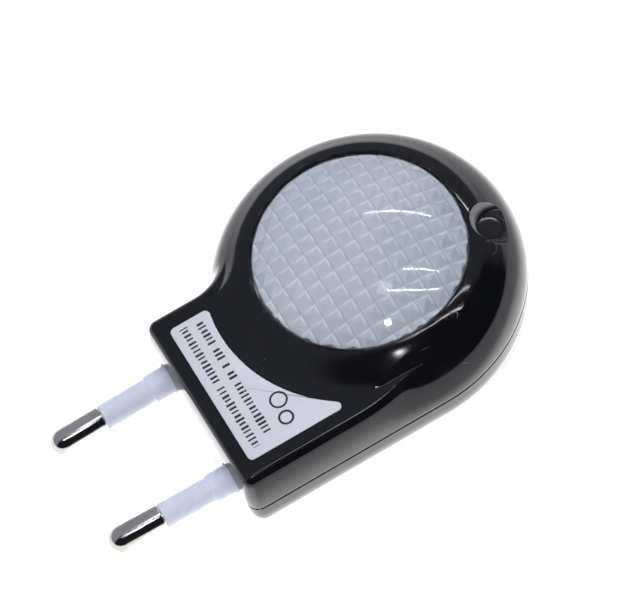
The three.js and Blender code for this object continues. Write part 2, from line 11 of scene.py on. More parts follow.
import bmesh
import bpy
import numpy as np
from mathutils import Matrix, Vector


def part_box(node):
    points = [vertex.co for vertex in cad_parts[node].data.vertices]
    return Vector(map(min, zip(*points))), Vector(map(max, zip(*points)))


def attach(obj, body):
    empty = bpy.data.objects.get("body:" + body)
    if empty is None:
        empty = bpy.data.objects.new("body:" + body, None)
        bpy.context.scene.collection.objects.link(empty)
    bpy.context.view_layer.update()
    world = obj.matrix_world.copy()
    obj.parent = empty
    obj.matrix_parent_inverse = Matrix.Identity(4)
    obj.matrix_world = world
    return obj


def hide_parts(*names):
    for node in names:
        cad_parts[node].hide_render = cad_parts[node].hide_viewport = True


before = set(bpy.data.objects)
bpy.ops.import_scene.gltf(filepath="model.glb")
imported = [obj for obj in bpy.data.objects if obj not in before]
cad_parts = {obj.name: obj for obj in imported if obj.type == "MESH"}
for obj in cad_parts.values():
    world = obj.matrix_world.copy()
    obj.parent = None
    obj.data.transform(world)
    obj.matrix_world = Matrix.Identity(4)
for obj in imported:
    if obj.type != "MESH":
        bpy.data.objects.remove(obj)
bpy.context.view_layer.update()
MM = 0.001
print("nodes in the frame:", len(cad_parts))

# %% [markdown]
# ## Sizes
#
# The shell's outline has a neck and a head. Their main sizes can be read from the boxes of the
# frame's own nodes, so the fine surfaces follow the frame if it changes. Wall thicknesses and
# roundings can't be read from a box, so they are named here, as the mould maker would name them.

# %% Driving sizes, in millimetres


def box_mm(node):
    """The lowest and highest corner of a node, in millimetres."""
    low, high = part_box(node)
    return np.array(low) / MM, np.array(high) / MM


front_low, front_high = box_mm("front_shell")
back_low = box_mm("back_shell")[0]
lens_low, lens_high = box_mm("diffuser_lens")
NECK_HALF = front_high[0]
BODY_LENGTH = front_high[1]
HEAD_R = 23.2
HEAD_X = NECK_HALF - HEAD_R
HEAD_Y = BODY_LENGTH - HEAD_R
BACK_Z = back_low[2]
OPENING_Z = front_high[2]
NECK_TOP = 7.2
WALL = 1.8
CORNER_R = 2.0
CROTCH_R = 6.0
EASE_LENGTH, EASE_PULL = 13, 6.0
INNER_DRAFT = 0.1
EDGE_R = 1.7
BACK_ROUND_IN = 2.6
BACK_ROUND_UP = 4.8
ABOVE_ALL = 12.0
SEAM_TOP = front_low[2]
SEAM_BOTTOM = -0.25
SEAM_ROUND = 0.14
OPENING_R = 15.85
SENSOR_BEARING = 1.26
SCOOP_RING, SENSOR_RING = 19.95, 18.9
SCOOP_R, CUP_WALL, CUP_BOTTOM = 3.6, 0.45, 3.5
SCOOP_FLOOR, SCOOP_SLOPE = 6.0, np.tan(0.3)
WINDOW_R, WINDOW_BOTTOM, WINDOW_GAP = 1.9, 3.7, 0.06
outward = np.array([np.cos(SENSOR_BEARING), np.sin(SENSOR_BEARING)])
scoop_centre = np.array([HEAD_X, HEAD_Y]) + SCOOP_RING * outward
window_centre = np.array([HEAD_X, HEAD_Y]) + SENSOR_RING * outward
print("head radius", HEAD_R, "head centre", round(HEAD_X, 2), round(HEAD_Y, 2))

# %% [markdown]
# ## Surfaces from grids
#
# Blender could start from a cube and model each part by hand. A moulded part is easier to give
# as rows of points: every row is the same closed line, moved a little. One helper turns a grid
# of points into a mesh, closes it across its columns, and makes sure that it faces outwards.

# %% Grid helpers


def quads(rows, columns, close_rows):
    """Corner numbers of the faces between neighbouring rows; columns always close on themselves."""
    number = np.arange(rows * columns).reshape(rows, columns)
    if close_rows:
        number = np.vstack([number, number[:1]])
    here, above = number[:-1], number[1:]
    beside, corner = np.roll(here, -1, axis=1), np.roll(above, -1, axis=1)
    return np.stack([here, beside, corner, above], axis=-1).reshape(-1, 4)


def signed_volume(points, faces):
    """Volume as a sum over the faces of corner . (corner x corner); above 0 if they point out."""
    a, b, c, d = (points[faces[:, i]] for i in range(4))
    halves = np.einsum("ij,ij->i", a, np.cross(b, c)) + np.einsum("ij,ij->i", a, np.cross(c, d))
    return halves.sum() / 6


def mesh_from(name, points, faces):
    """An object whose mesh has these points, in millimetres, and these four-cornered faces."""
    if signed_volume(points, faces) < 0:
        faces = faces[:, ::-1]
    mesh = bpy.data.meshes.new(name)
    mesh.vertices.add(len(points))
    mesh.vertices.foreach_set("co", (points * MM).astype(np.float32).ravel())
    mesh.loops.add(faces.size)
    mesh.loops.foreach_set("vertex_index", faces.astype(np.int32).ravel())
    mesh.polygons.add(len(faces))
    mesh.polygons.foreach_set("loop_start", np.arange(0, faces.size, 4, dtype=np.int32))
    mesh.update(calc_edges=True)
    shaped = bmesh.new()
    shaped.from_mesh(mesh)
    bmesh.ops.remove_doubles(shaped, verts=shaped.verts, dist=1e-7)
    shaped.to_mesh(mesh)
    shaped.free()
    thing = bpy.data.objects.new(name, mesh)
    bpy.context.scene.collection.objects.link(thing)
    return thing


def surface(name, grid, close_rows=False):
    """A closed surface from a grid of points shaped rows x columns x 3."""
    rows, columns = grid.shape[:2]
    return mesh_from(name, grid.reshape(-1, 3), quads(rows, columns, close_rows))


def turned(name, profile, centre=(0, 0), steps=96):
    """A shape of revolution about an upright axis, from [radius, z] points that end on the axis."""
    r, z = np.array(profile, dtype=float).T
    turn = np.linspace(0, 2 * np.pi, steps, endpoint=False)
    grid = np.empty((len(r), steps, 3))
    grid[..., 0] = centre[0] + r[:, None] * np.cos(turn)
    grid[..., 1] = centre[1] + r[:, None] * np.sin(turn)
    grid[..., 2] = z[:, None]
    return surface(name, grid)


def with_height(place, z):
    """Places with their heights beside them."""
    return np.concatenate([place, np.broadcast_to(z, place.shape[:2])[..., None]], axis=-1)


def polar_places(centre, radii, steps=96):
    """Places on circles of the given radii about a centre."""
    turn = np.linspace(0, 2 * np.pi, steps, endpoint=False)
    ring = np.stack([np.cos(turn), np.sin(turn)], -1)
    return centre + np.asarray(radii, dtype=float)[:, None, None] * ring


def rod(radius, bottom, top, place, steps=48):
    """An upright rod, used to join or cut."""
    return turned("rod", [[0, bottom], [radius, bottom], [radius, top], [0, top]], place, steps)


def rounded_corner(start, corner, end, radius, steps=8):
    """Points of an arc of a given radius that replaces a corner between two straight runs."""
    start, corner, end = (np.array(p, dtype=float) for p in (start, corner, end))
    towards_start = (start - corner) / np.linalg.norm(start - corner)
    towards_end = (end - corner) / np.linalg.norm(end - corner)
    half_angle = np.arccos(np.clip(towards_start @ towards_end, -1, 1)) / 2
    reach = radius / np.tan(half_angle)
    middle = (towards_start + towards_end) / np.linalg.norm(towards_start + towards_end)
    centre = corner + middle * radius / np.sin(half_angle)
    first, last = corner + towards_start * reach - centre, corner + towards_end * reach - centre
    share = np.linspace(0, 1, steps)[:, None]
    blend = first * (1 - share) + last * share
    return centre + radius * blend / np.linalg.norm(blend, axis=1, keepdims=True)


def rounded_profile(points, radii, steps=8):
    """A profile whose inner corners are replaced by arcs; a radius of 0 keeps a corner sharp."""
    runs = [np.array(points[:1], dtype=float)]
    for before, corner, after, radius in zip(points, points[1:], points[2:], radii):
        if radius > 0:
            runs.append(rounded_corner(before, corner, after, radius, steps))
        else:
            runs.append(np.array([corner], dtype=float))
    runs.append(np.array(points[-1:], dtype=float))
    return np.vstack(runs)


def carve(piece, tool, how="DIFFERENCE"):
    """Cuts, joins or keeps the shared part of a piece and a tool, and uses the tool up. Faces
    that the tool leaves keep the tool's own finish, or take the piece's if it has none."""
    if piece.data.materials and not tool.data.materials:
        tool.data.materials.append(piece.data.materials[0])
    cut = piece.modifiers.new("cut", "BOOLEAN")
    cut.operation = how
    cut.solver = "MANIFOLD"
    cut.material_mode = "TRANSFER"
    cut.object = tool
    graph = bpy.context.evaluated_depsgraph_get()
    made = bpy.data.meshes.new_from_object(piece.evaluated_get(graph))
    piece.modifiers.clear()
    old = piece.data
    piece.data = made
    bpy.data.meshes.remove(old)
    bpy.data.objects.remove(tool)
    return piece


def smooth_shade(piece, crease_degrees=32):
    """Smooth faces, with a crisp line where neighbours turn more than an angle."""
    piece.data.shade_smooth()
    piece.data.set_sharp_from_angle(angle=np.radians(crease_degrees))


# %% [markdown]
# ## Shader helpers
#
# Every finish is built from nodes. Two small helpers keep that readable: one adds a node and
# fills its inputs, with a value or with a wire from another node, and one does arithmetic.

# %% Node helpers


def feed(tree, node, **inputs):
    """Fills a node's sockets, each with a value or with a wire. An _ in a name is a space."""
    for name, value in inputs.items():
        socket = node.inputs[int(name[1:]) if name[1:].isdigit() else name.replace("_", " ")]
        if isinstance(value, bpy.types.NodeSocket):
            tree.links.new(value, socket)
        elif hasattr(value, "__len__") and len(value) < len(socket.default_value):
            socket.default_value = (*value, 1)
        else:
            socket.default_value = value


def add(tree, kind, **inputs):
    """Adds a node. An input named with a leading _ is a property; the others are sockets."""
    made = tree.nodes.new(kind)
    for name in [name for name in inputs if name.startswith("_")]:
        setattr(made, name[1:], inputs.pop(name))
    feed(tree, made, **inputs)
    return made


def maths(tree, operation, first, second=0.0, third=0.0):
    """One arithmetic step, as a socket."""
    made = add(tree, "ShaderNodeMath", _operation=operation, i0=first, i1=second, i2=third)
    return made.outputs[0]


def between(tree, value, low, high):
    """0 below low, 1 above high, and a smooth step in between."""
    made = add(
        tree,
        "ShaderNodeMapRange",
        _interpolation_type="SMOOTHSTEP",
        Value=value,
        From_Min=low,
        From_Max=high,
    )
    return made.outputs["Result"]


def opposite(tree, mask):
    """1 where a mask is 0, and 0 where it is 1."""
    return maths(tree, "SUBTRACT", 1.0, mask)


def mixed(tree, share, first, second):
    """One colour shading into another."""
    made = add(tree, "ShaderNodeMix", _data_type="RGBA", i0=share, i6=first, i7=second)
    return made.outputs[2]


def noise(tree, where, scale, detail=2.0, roughness=0.5):
    """Soft noise of a given scale, as a value."""
    kind = "ShaderNodeTexNoise"
    made = add(tree, kind, Vector=where, Scale=scale, Detail=detail, Roughness=roughness)
    return made.outputs["Fac"]


def chance(tree, where):
    """A random value for each place or cell."""
    return add(tree, "ShaderNodeTexWhiteNoise", Vector=where)


def axes(tree, where, scale=1.0):
    """The X, Y and Z of a place, multiplied by a scale."""
    scaled = add(tree, "ShaderNodeVectorMath", _operation="SCALE", Vector=where, Scale=scale)
    parts = add(tree, "ShaderNodeSeparateXYZ", Vector=scaled.outputs["Vector"]).outputs
    return parts["X"], parts["Y"], parts["Z"]


def new_group(name, inputs, outputs):
    """An empty shader group, with its float sockets and a Vector that says where."""
    group = bpy.data.node_groups.new(name, "ShaderNodeTree")
    group.interface.new_socket("Where", in_out="INPUT", socket_type="NodeSocketVector")
    for label, value in inputs.items():
        socket = group.interface.new_socket(label, in_out="INPUT", socket_type="NodeSocketFloat")
        socket.default_value = value
    for label in outputs:
        group.interface.new_socket(label, in_out="OUTPUT", socket_type="NodeSocketFloat")
    return group, group.nodes.new("NodeGroupInput"), group.nodes.new("NodeGroupOutput")


def use_group(tree, group, where, **inputs):
    """Places a group in a material, with its own values, and gives what it puts out."""
    made = add(tree, "ShaderNodeGroup", _node_tree=group, Where=where, **inputs)
    return made.outputs[0]


def finish_named(name):
    """A material with its tree, its Principled shader and its Object coordinates."""
    look = bpy.data.materials.new(name)
    look.use_nodes = True
    tree = look.node_tree
    shader = tree.nodes["Principled BSDF"]
    where = tree.nodes.new("ShaderNodeTexCoord").outputs["Object"]
    return look, tree, shader, where


def bumped(tree, shader, height, depth):
    """Feeds a height into the shader's normal; depth is in millimetres."""
    bump = add(tree, "ShaderNodeBump", Height=height, Distance=depth * MM, Strength=1.0)
    feed(tree, shader, Normal=bump.outputs["Normal"])


# %% [markdown]
# ## Handling marks
#
# Gloss plastic that has been handled shows three things: a few dust specks, hairline scratches,
# and smudges that change the gloss but not the colour. Several pieces need them, so each is a
# shader group with its own amounts. Each puts out a mask, and the material decides what it does.

# %% Dust, scratches, smudges and moulding ripple


def make_dust():
    """Dust: the centres of random cells, each kept or dropped by its own random value."""
    group, given, put = new_group("dust_specks", {"Per metre": 900.0, "Share": 0.1}, ["Mask"])
    where, per_metre, share = (given.outputs[name] for name in ("Where", "Per metre", "Share"))
    cells = add(group, "ShaderNodeTexVoronoi", Vector=where, Scale=per_metre)
    luck = chance(group, cells.outputs["Position"]).outputs["Value"]
    kept = maths(group, "LESS_THAN", luck, share)
    size = maths(group, "MULTIPLY_ADD", luck, 0.9, 0.05)
    near = maths(group, "LESS_THAN", cells.outputs["Distance"], size)
    feed(group, put, Mask=maths(group, "MULTIPLY", kept, near))
    return group


def make_scratches():
    """Hairlines: thin contour lines of a stretched noise, broken up by a coarser noise."""
    sizes = {"Per metre": 90.0, "Width": 0.0012}
    group, given, put = new_group("hairline_scratches", sizes, ["Mask"])
    where, per_metre, width = (given.outputs[name] for name in ("Where", "Per metre", "Width"))
    stretched = add(
        group, "ShaderNodeMapping", Vector=where, Rotation=(0.3, 0.2, 0.7), Scale=(1.0, 0.16, 1.0)
    )
    field = noise(group, stretched.outputs["Vector"], per_metre)
    off_centre = maths(group, "ABSOLUTE", maths(group, "SUBTRACT", field, 0.5))
    line = maths(group, "LESS_THAN", off_centre, width)
    patches = between(group, noise(group, where, 260.0), 0.60, 0.66)
    feed(group, put, Mask=maths(group, "MULTIPLY", line, patches))
    return group


def make_smudges():
    """Smudges: broad soft noise, sharpened into patches."""
    group, given, put = new_group("smudges", {"Per metre": 70.0}, ["Mask"])
    field = noise(group, given.outputs["Where"], given.outputs["Per metre"], 5.0, 0.62)
    feed(group, put, Mask=between(group, field, 0.42, 0.72))
    return group


def make_ripple():
    """Moulding ripple: the faint waviness that gloss plastic keeps from its mould."""
    group, given, put = new_group("moulding_ripple", {"Per metre": 120.0}, ["Height"])
    field = noise(group, given.outputs["Where"], given.outputs["Per metre"], 1.0)
    feed(group, put, Height=field)
    return group


DUST, SCRATCHES, SMUDGES, RIPPLE = make_dust(), make_scratches(), make_smudges(), make_ripple()
print("shared groups:", [group.name for group in (DUST, SCRATCHES, SMUDGES, RIPPLE)])

# %% [markdown]
# ## Gloss black shell plastic
#
# The shell is black ABS from a polished mould. Its own colour hardly matters: what is seen is
# the room mirrored in it. So the base is nearly black, the gloss is high, and the marks above
# make it real: dust is a pale grey, scratches catch the light, and smudges dull it a little.

# %% The shell's finish


def shell_finish(name, gloss, grain_depth):
    """Black ABS: roughness grows from gloss with smudges, and dust and scratches sit on top."""
    look, tree, shader, where = finish_named(name)
    dust = use_group(tree, DUST, where, Per_metre=620.0, Share=0.035)
    lint = use_group(tree, DUST, where, Per_metre=240.0, Share=0.02)
    scratches = use_group(tree, SCRATCHES, where)
    smudges = use_group(tree, SMUDGES, where)
    specks = maths(tree, "MAXIMUM", dust, maths(tree, "MULTIPLY", lint, 0.4))
    body = mixed(tree, smudges, (0.0035, 0.0037, 0.0048), (0.006, 0.0063, 0.0075))
    scuffed = mixed(tree, maths(tree, "MULTIPLY", scratches, 0.5), body, (0.16, 0.17, 0.19))
    dull = maths(tree, "MULTIPLY_ADD", smudges, 0.05, gloss)
    marks = maths(tree, "MAXIMUM", specks, scratches)
    feed(
        tree,
        shader,
        Base_Color=mixed(tree, maths(tree, "MULTIPLY", specks, 0.75), scuffed, (0.34, 0.34, 0.35)),
        Roughness=maths(tree, "MULTIPLY_ADD", marks, 0.25, dull),
        IOR=1.52,
    )
    grain = noise(tree, where, 2600.0, 3.0)
    relief = maths(tree, "MULTIPLY_ADD", grain, grain_depth, use_group(tree, RIPPLE, where))
    bumped(tree, shader, relief, 0.006)
    return look


def scoop_finish():
    """The sensor's scoop: its steep wall is matt and carries painted light, a pale grey, and its
    floor stays dark.
    """
    look, tree, shader, where = finish_named("scoop_black")
    facing = tree.nodes.new("ShaderNodeNewGeometry").outputs["Normal"]
    steep = opposite(tree, between(tree, axes(tree, facing)[2], 0.35, 0.85))
    dust = use_group(tree, DUST, where, Per_metre=620.0, Share=0.035)
    # Painted light: where the surface stands steep, its colour is a pale grey; where it faces up,
    # it stays black.
    painted_light_on_walls = mixed(tree, steep, (0.004, 0.004, 0.005), (0.38, 0.38, 0.40))
    feed(
        tree,
        shader,
        Base_Color=mixed(tree, maths(tree, "MULTIPLY", dust, 0.5), painted_light_on_walls, (0.3, 0.3, 0.31)),
        Roughness=maths(tree, "MULTIPLY_ADD", steep, 0.3, 0.22),
    )
    bumped(tree, shader, noise(tree, where, 2200.0, 3.0), 0.006)
    return look


gloss_black = shell_finish("gloss_black_shell", 0.07, 0.02)
satin_black = shell_finish("back_shell_black", 0.11, 0.06)
matt_scoop = scoop_finish()

# %% [markdown]
# ## The outline of the body
#
# Seen from above, one side of the neck eases over into the head along a soft curve, and on the
# other side a hollow corner joins them. Moving the line in by an amount has to keep it smooth,
# so it isn't scaled: each arc and line is worked out again at its own inset. The neck and the
# head have separate insets, because their sides lean in by different amounts.

# %% Outline rings


def arc_points(centre_x, centre_y, radius, start, end, count):
    """Points on an arc, without its last one. Every argument may be one value for each row."""
    share = np.linspace(0, 1, count, endpoint=False)
    angle = start + (end - start) * share
    return np.stack([centre_x + radius * np.cos(angle), centre_y + radius * np.sin(angle)], -1)


def line_points(x0, y0, x1, y1, count):
    """Points on a straight line, without its last one."""
    share = np.linspace(0, 1, count, endpoint=False)
    return np.stack([x0 + (x1 - x0) * share, y0 + (y1 - y0) * share], -1)


def easing_points(x0, y0, x1, y1, count):
    """The soft curve from the neck's side to the head's: a cubic with upright ends."""
    t = np.linspace(0, 1, count, endpoint=False)
    a, b, c, d = (1 - t) ** 3, 3 * t * (1 - t) ** 2, 3 * t * t * (1 - t), t**3
    x = (a + b) * x0 + (c + d) * x1
    y = a * y0 + (b + c) * (y1 - EASE_PULL) + d * y1
    return np.stack(np.broadcast_arrays(x, y), -1)


def outline_rings(neck_inset, head_inset):
    """Rows of outline points, one row for each pair of insets, going anticlockwise."""
    neck_inset, head_inset = np.broadcast_arrays(neck_inset, head_inset)
    neck, head = neck_inset.reshape(-1, 1), head_inset.reshape(-1, 1)
    half, round_r = NECK_HALF - neck, HEAD_R - head
    corner = np.maximum(CORNER_R - neck, 0.4)
    crotch = CROTCH_R + (neck + head) / 2
    crotch_x = -half - crotch
    crotch_y = HEAD_Y - np.sqrt((round_r + crotch) ** 2 - (HEAD_X - crotch_x) ** 2)
    to_head = np.arctan2(HEAD_Y - crotch_y, HEAD_X - crotch_x)
    right_angle = np.pi / 2
    runs = [
        line_points(corner - half, neck, half - corner, neck, 72),
        arc_points(half - corner, neck + corner, corner, -right_angle, 0, 14),
        line_points(half, neck + corner, half, HEAD_Y - EASE_LENGTH, 40),
        easing_points(half, HEAD_Y - EASE_LENGTH, HEAD_X + round_r, HEAD_Y, 36),
        arc_points(HEAD_X, HEAD_Y, round_r, 0, to_head + np.pi, 200),
        arc_points(crotch_x, crotch_y, crotch, to_head, 0, 40),
        line_points(-half, crotch_y, -half, neck + corner, 20),
        arc_points(corner - half, neck + corner, corner, np.pi, 3 * right_angle, 14),
    ]
    return np.concatenate(runs, axis=1)


print("points round the outline:", outline_rings(0.0, 0.0).shape[1])

# %% [markdown]
# ## Heights
#
# Two profiles give every height of the front shell. The head is turned, so its side is a curve
# of radius against height. The neck is flat on top with a rounded edge and slightly leaning
# sides. Where the neck's flat top runs into the head there is a fillet, which a smooth maximum
# of the two heights makes: it is the larger of both, with the corner between them filled.

# %% Head and neck profiles

HEAD_POWER = 1.35
FILLET, FAR_FROM_EDGE = 2.6, 2.0
SIDE_IN = 0.6
EDGE_START = np.radians(12)
EDGE_Z = NECK_TOP - EDGE_R * (1 - np.sin(EDGE_START))


def head_lean(z):
    """How far the head's side has moved in at a height. It is a superellipse: the share of the
    way out, to the power 1.35, and the share of the way up, squared, add up to one."""
    up = np.clip(z / OPENING_Z, 0, 1)
    return (HEAD_R - OPENING_R) * (1 - (1 - up**2) ** (1 / HEAD_POWER))


def head_height(r):
    """Height of the head's skin at a distance from its centre: the same superellipse."""
    out = np.clip((r - OPENING_R) / (HEAD_R - OPENING_R), 0, 1)
    return OPENING_Z * np.sqrt(1 - out**HEAD_POWER)


def neck_lean(z):
    """How far the neck's side has moved in at a height: a shallow curve that grows with the
    square of the height, then an arc that turns the rest of the way to level."""
    curve = SIDE_IN * (np.clip(z, 0, EDGE_Z) / EDGE_Z) ** 2
    turn = np.arcsin(np.clip((z - EDGE_Z) / EDGE_R + np.sin(EDGE_START), np.sin(EDGE_START), 1))
    return curve + EDGE_R * (np.cos(EDGE_START) - np.cos(turn))


def smooth_step(share):
    """0 to 1 with level ends."""
    share = np.clip(share, 0, 1)
    return share * share * (3 - 2 * share)


def smooth_maximum(first, second, reach):
    """The larger of two heights, with a fillet where they are closer than reach."""
    reach = np.maximum(reach, 1e-6)
    near = np.maximum(reach - np.abs(first - second), 0)
    return np.maximum(first, second) + near * near / (4 * reach)


# %% [markdown]
# ## Front shell
#
# The front shell is one moulding: side walls up to the neck's rounded edge, a cap that rises
# to the opening, a small rounded lip round the diffuser, and an inner skin a wall's thickness
# inside. All of it is one grid. Each row is a closed ring, and the rows run from the seam up
# the outside, over the lip, and down the inside, back to the seam.

# %% Front shell rows


def side_rows():
    """The outer wall, from the seam's small rounding up to the flat of the neck."""
    turn = np.linspace(0, np.pi / 2, 5)
    seam_z = SEAM_TOP + SEAM_ROUND * (1 - np.cos(turn))
    seam_in = SEAM_ROUND * (1 - np.sin(turn))
    wall_z = np.linspace(seam_z[-1], EDGE_Z, 22)[1:]
    turn = np.linspace(EDGE_START, np.pi / 2, 16)[1:]
    edge_z = EDGE_Z + EDGE_R * (np.sin(turn) - np.sin(EDGE_START))
    z = np.concatenate([seam_z, wall_z, edge_z])
    tuck = np.concatenate([seam_in, np.zeros(len(wall_z) + len(edge_z))])
    rings = outline_rings(neck_lean(z) + tuck, head_lean(np.maximum(z, 0)) + tuck)
    return with_height(rings, z[:, None])


def opening_ring(radius, z, angle):
    """The round opening, with one point for each point of the outline."""
    x, y = HEAD_X + radius * np.cos(angle), HEAD_Y + radius * np.sin(angle)
    return np.stack([x, y, np.full_like(angle, z)], -1)


def cap_height(place, from_edge):
    """Height of the cap: the neck's flat and the head's skin, filleted away from the edge."""
    r = np.hypot(place[..., 0] - HEAD_X, place[..., 1] - HEAD_Y)
    reach = FILLET * smooth_step(from_edge / FAR_FROM_EDGE)
    return smooth_maximum(np.full_like(r, NECK_TOP), head_height(r), reach)


def cap_rows(edge_ring, opening, count=60):
    """Rows from the neck's edge to the opening, closer together where the edge and lip are."""
    share = smooth_step(np.linspace(0, 1, count)) * 0.5 + np.linspace(0, 1, count) * 0.5
    share = share[1:, None, None]
    place = edge_ring[None, :, :2] * (1 - share) + opening[None, :, :2] * share
    from_edge = np.linalg.norm(place - edge_ring[None, :, :2], axis=-1)
    return with_height(place, cap_height(place, from_edge))


def lip_rows(angle):
    """The rounded lip of the opening and its short inner wall."""
    lip, foot, ledge_r = 0.3, 7.75, 17.2
    corners = [
        [OPENING_R + 1, OPENING_Z + 0.3],
        [OPENING_R, OPENING_Z],
        [OPENING_R, foot],
        [ledge_r, foot - 0.2],
    ]
    profile = rounded_profile(corners, [lip, 0.2])[1:]
    return np.stack([opening_ring(r, z, angle) for r, z in profile])


def inner_rows(edge_ring, opening):
    """The inner skin: under the cap, then down inside the walls to the seam."""
    share = np.linspace(0, 1, 12)[:-1, None, None]
    place = opening[None, :, :2] * (1 - share) + edge_ring[None, :, :2] * share
    skin = with_height(place, cap_height(place, FAR_FROM_EDGE) - WALL)
    z = np.linspace(NECK_TOP - WALL, SEAM_TOP, 8)
    rings = outline_rings(WALL + INNER_DRAFT * z, head_lean(np.maximum(z, 0)) + WALL + 0.2)
    return np.concatenate([skin, with_height(rings, z[:, None])])


def front_shell():
    """The whole front shell as one grid that closes in both directions."""
    outside = side_rows()
    angle = np.unwrap(np.arctan2(outside[-1, :, 1] - HEAD_Y, outside[-1, :, 0] - HEAD_X))
    lip = lip_rows(angle)
    cap = cap_rows(outside[-1], lip[0])
    z = NECK_TOP - WALL
    edge = outline_rings(WALL + INNER_DRAFT * z + 0.4, head_lean(z) + WALL + 0.6)[0]
    inside = inner_rows(edge, opening_ring(17.4, 0.0, angle)[:, :2])
    grid = np.concatenate([outside, cap[:-1], lip, inside])
    return surface("front_shell_moulding", grid, close_rows=True)


front = front_shell()
print("front shell faces:", len(front.data.polygons))

# %% [markdown]
# ## The light sensor's scoop
#
# A round scoop is sunk into the bezel on the far side. Its floor slopes down and outwards, so
# on the outer side it runs out through the skin and the rim comes to a point at either end. A
# cup under the skin carries the floor. Cup and scoop are grids in polar coordinates, and the
# cup is joined and the scoop cut, as the mould's core pin does.

# %% Cup, scoop and window bore


def floor_height(place):
    """Height of the scoop's sloping floor at a place."""
    return SCOOP_FLOOR - SCOOP_SLOPE * ((place - scoop_centre) @ outward)


def scoop_cup():
    """A plug of plastic under the skin, its top just below the head's own surface."""
    radius = SCOOP_R + CUP_WALL
    under = polar_places(scoop_centre, [0, radius])
    over = polar_places(scoop_centre, np.linspace(radius, 0, 12))
    r = np.linalg.norm(over - [HEAD_X, HEAD_Y], axis=-1)
    top = np.maximum(head_height(r) - 0.7, CUP_BOTTOM + 0.2)
    cup = surface("cup", np.concatenate([with_height(under, CUP_BOTTOM), with_height(over, top)]))
    skin_gap = 0.5
    z = OPENING_Z * np.sin(np.linspace(0.02, np.pi / 2, 24))
    within = np.stack([HEAD_R - head_lean(z), z], -1) - skin_gap
    ends = within[[0, -1]] * [0, 1]
    core = turned("core", np.vstack([ends[:1], within, ends[1:]]), (HEAD_X, HEAD_Y))
    return carve(cup, core, "INTERSECT")


def scoop_tool():
    """What the core pin removes: straight walls, a small round at their foot, and the floor."""
    foot = 1.3
    turn = np.linspace(0, np.pi / 2, 12)
    radii = np.concatenate([[0, SCOOP_R * 0.6], SCOOP_R - foot + foot * np.sin(turn)])
    lift = np.concatenate([[0, 0], foot * (1 - np.cos(turn))])
    bed = polar_places(scoop_centre, radii)
    over = polar_places(scoop_centre, [SCOOP_R, 0])
    rows = [with_height(bed, floor_height(bed) + lift[:, None]), with_height(over, ABOVE_ALL)]
    return surface("scoop", np.concatenate(rows))


def window_bore():
    """The round hole in the scoop's floor that the window sits in."""
    return rod(WINDOW_R + WINDOW_GAP, 2, ABOVE_ALL, window_centre, 96)


front.data.materials.append(gloss_black)
carve(front, scoop_cup(), "UNION")
scoop = scoop_tool()
scoop.data.materials.append(matt_scoop)
carve(front, scoop)
carve(front, window_bore())
print("scoop centre", scoop_centre.round(2), "floor", SCOOP_FLOOR)

# %% [markdown]
# ## Back shell
#
# The back shell is the other half of the same outline, with a generous rounded edge and a flat
# back. The grid runs from the middle of the back outwards, round the edge, up to the seam, and
# down inside to the middle of the floor again, so its two ends are poles that close. The posts,
# bosses and wells are turned solids, joined or cut afterwards.

# %% Back shell

SCREW_RING, SCREW_ANGLE = 16.6, 0.45
SCREW_PLACES = [
    (0.0, 10.4),
    (HEAD_X + SCREW_RING * np.cos(SCREW_ANGLE), HEAD_Y + SCREW_RING * np.sin(SCREW_ANGLE)),
    (HEAD_X - SCREW_RING * np.cos(SCREW_ANGLE), HEAD_Y + SCREW_RING * np.sin(SCREW_ANGLE)),
]
SCREW_R, SCREW_HEAD_R, SCREW_SINK = 1.1, 2.1, 2.3
PIN_PITCH = 18.8
SLEEVE_PASSAGE_R, RIB_PASSAGE_R = 2.45, 1.75
RIB_Y, RIB_THICK, RIB_HALF, RIB_TOP = 4.7, 1.3, 15.0, 6.0
POST_RING, POST_R, POST_BEARINGS, POST_TOP = 13.6, 1.5, (0.2, 2.2, 4.0), 0.55
BOSS_R, BOSS_FOOT_R, BOSS_TOP, BOSS_BORE_TOP = 2.4, 3.4, 6.1, 3.9
SCREW_CLEARANCE, HEAD_CLEARANCE = 0.25, 0.3
FLOOR_SINK = 1.3
MIDDLE = np.array([HEAD_X + 3.0, HEAD_Y - 6.0])


def spread_from_middle(ring, shares):
    """Rows of a ring drawn towards the middle of the body, by shares of the way."""
    share = np.asarray(shares)[:, None, None]
    return MIDDLE + (ring[None] - MIDDLE) * share


def back_shell():
    """The back moulding: flat back, rounded edge, side, seam edge and the inner skin."""
    turn = np.linspace(0, np.pi / 2, 16)
    edge_in = BACK_ROUND_IN * (1 - np.sin(turn))
    edge_z = BACK_Z + BACK_ROUND_UP * (1 - np.cos(turn))
    seam_turn = np.linspace(0, np.pi / 2, 5)
    seam_in = SEAM_ROUND * (1 - np.cos(seam_turn))
    seam_z = SEAM_BOTTOM - SEAM_ROUND * (1 - np.sin(seam_turn))
    wall_z = np.linspace(edge_z[-1], seam_z[0], 12)[1:-1]
    inset = np.concatenate([edge_in, np.zeros(len(wall_z)), seam_in])
    z = np.concatenate([edge_z, wall_z, seam_z])
    floor = BACK_Z + WALL
    inset = np.concatenate([inset, [WALL, WALL, 2.2, 2.9, 4.2]])
    z = np.concatenate([z, [SEAM_BOTTOM, floor + 1.8, floor + 1.0, floor + 0.5, floor]])
    walls = with_height(outline_rings(inset, inset), z[:, None])
    back_face = with_height(spread_from_middle(walls[0, :, :2], np.linspace(0, 1, 14)[:-1]), BACK_Z)
    inner_face = with_height(spread_from_middle(walls[-1, :, :2], np.linspace(1, 0, 8)[1:]), floor)
    return surface("back_shell_moulding", np.concatenate([back_face, walls, inner_face]))


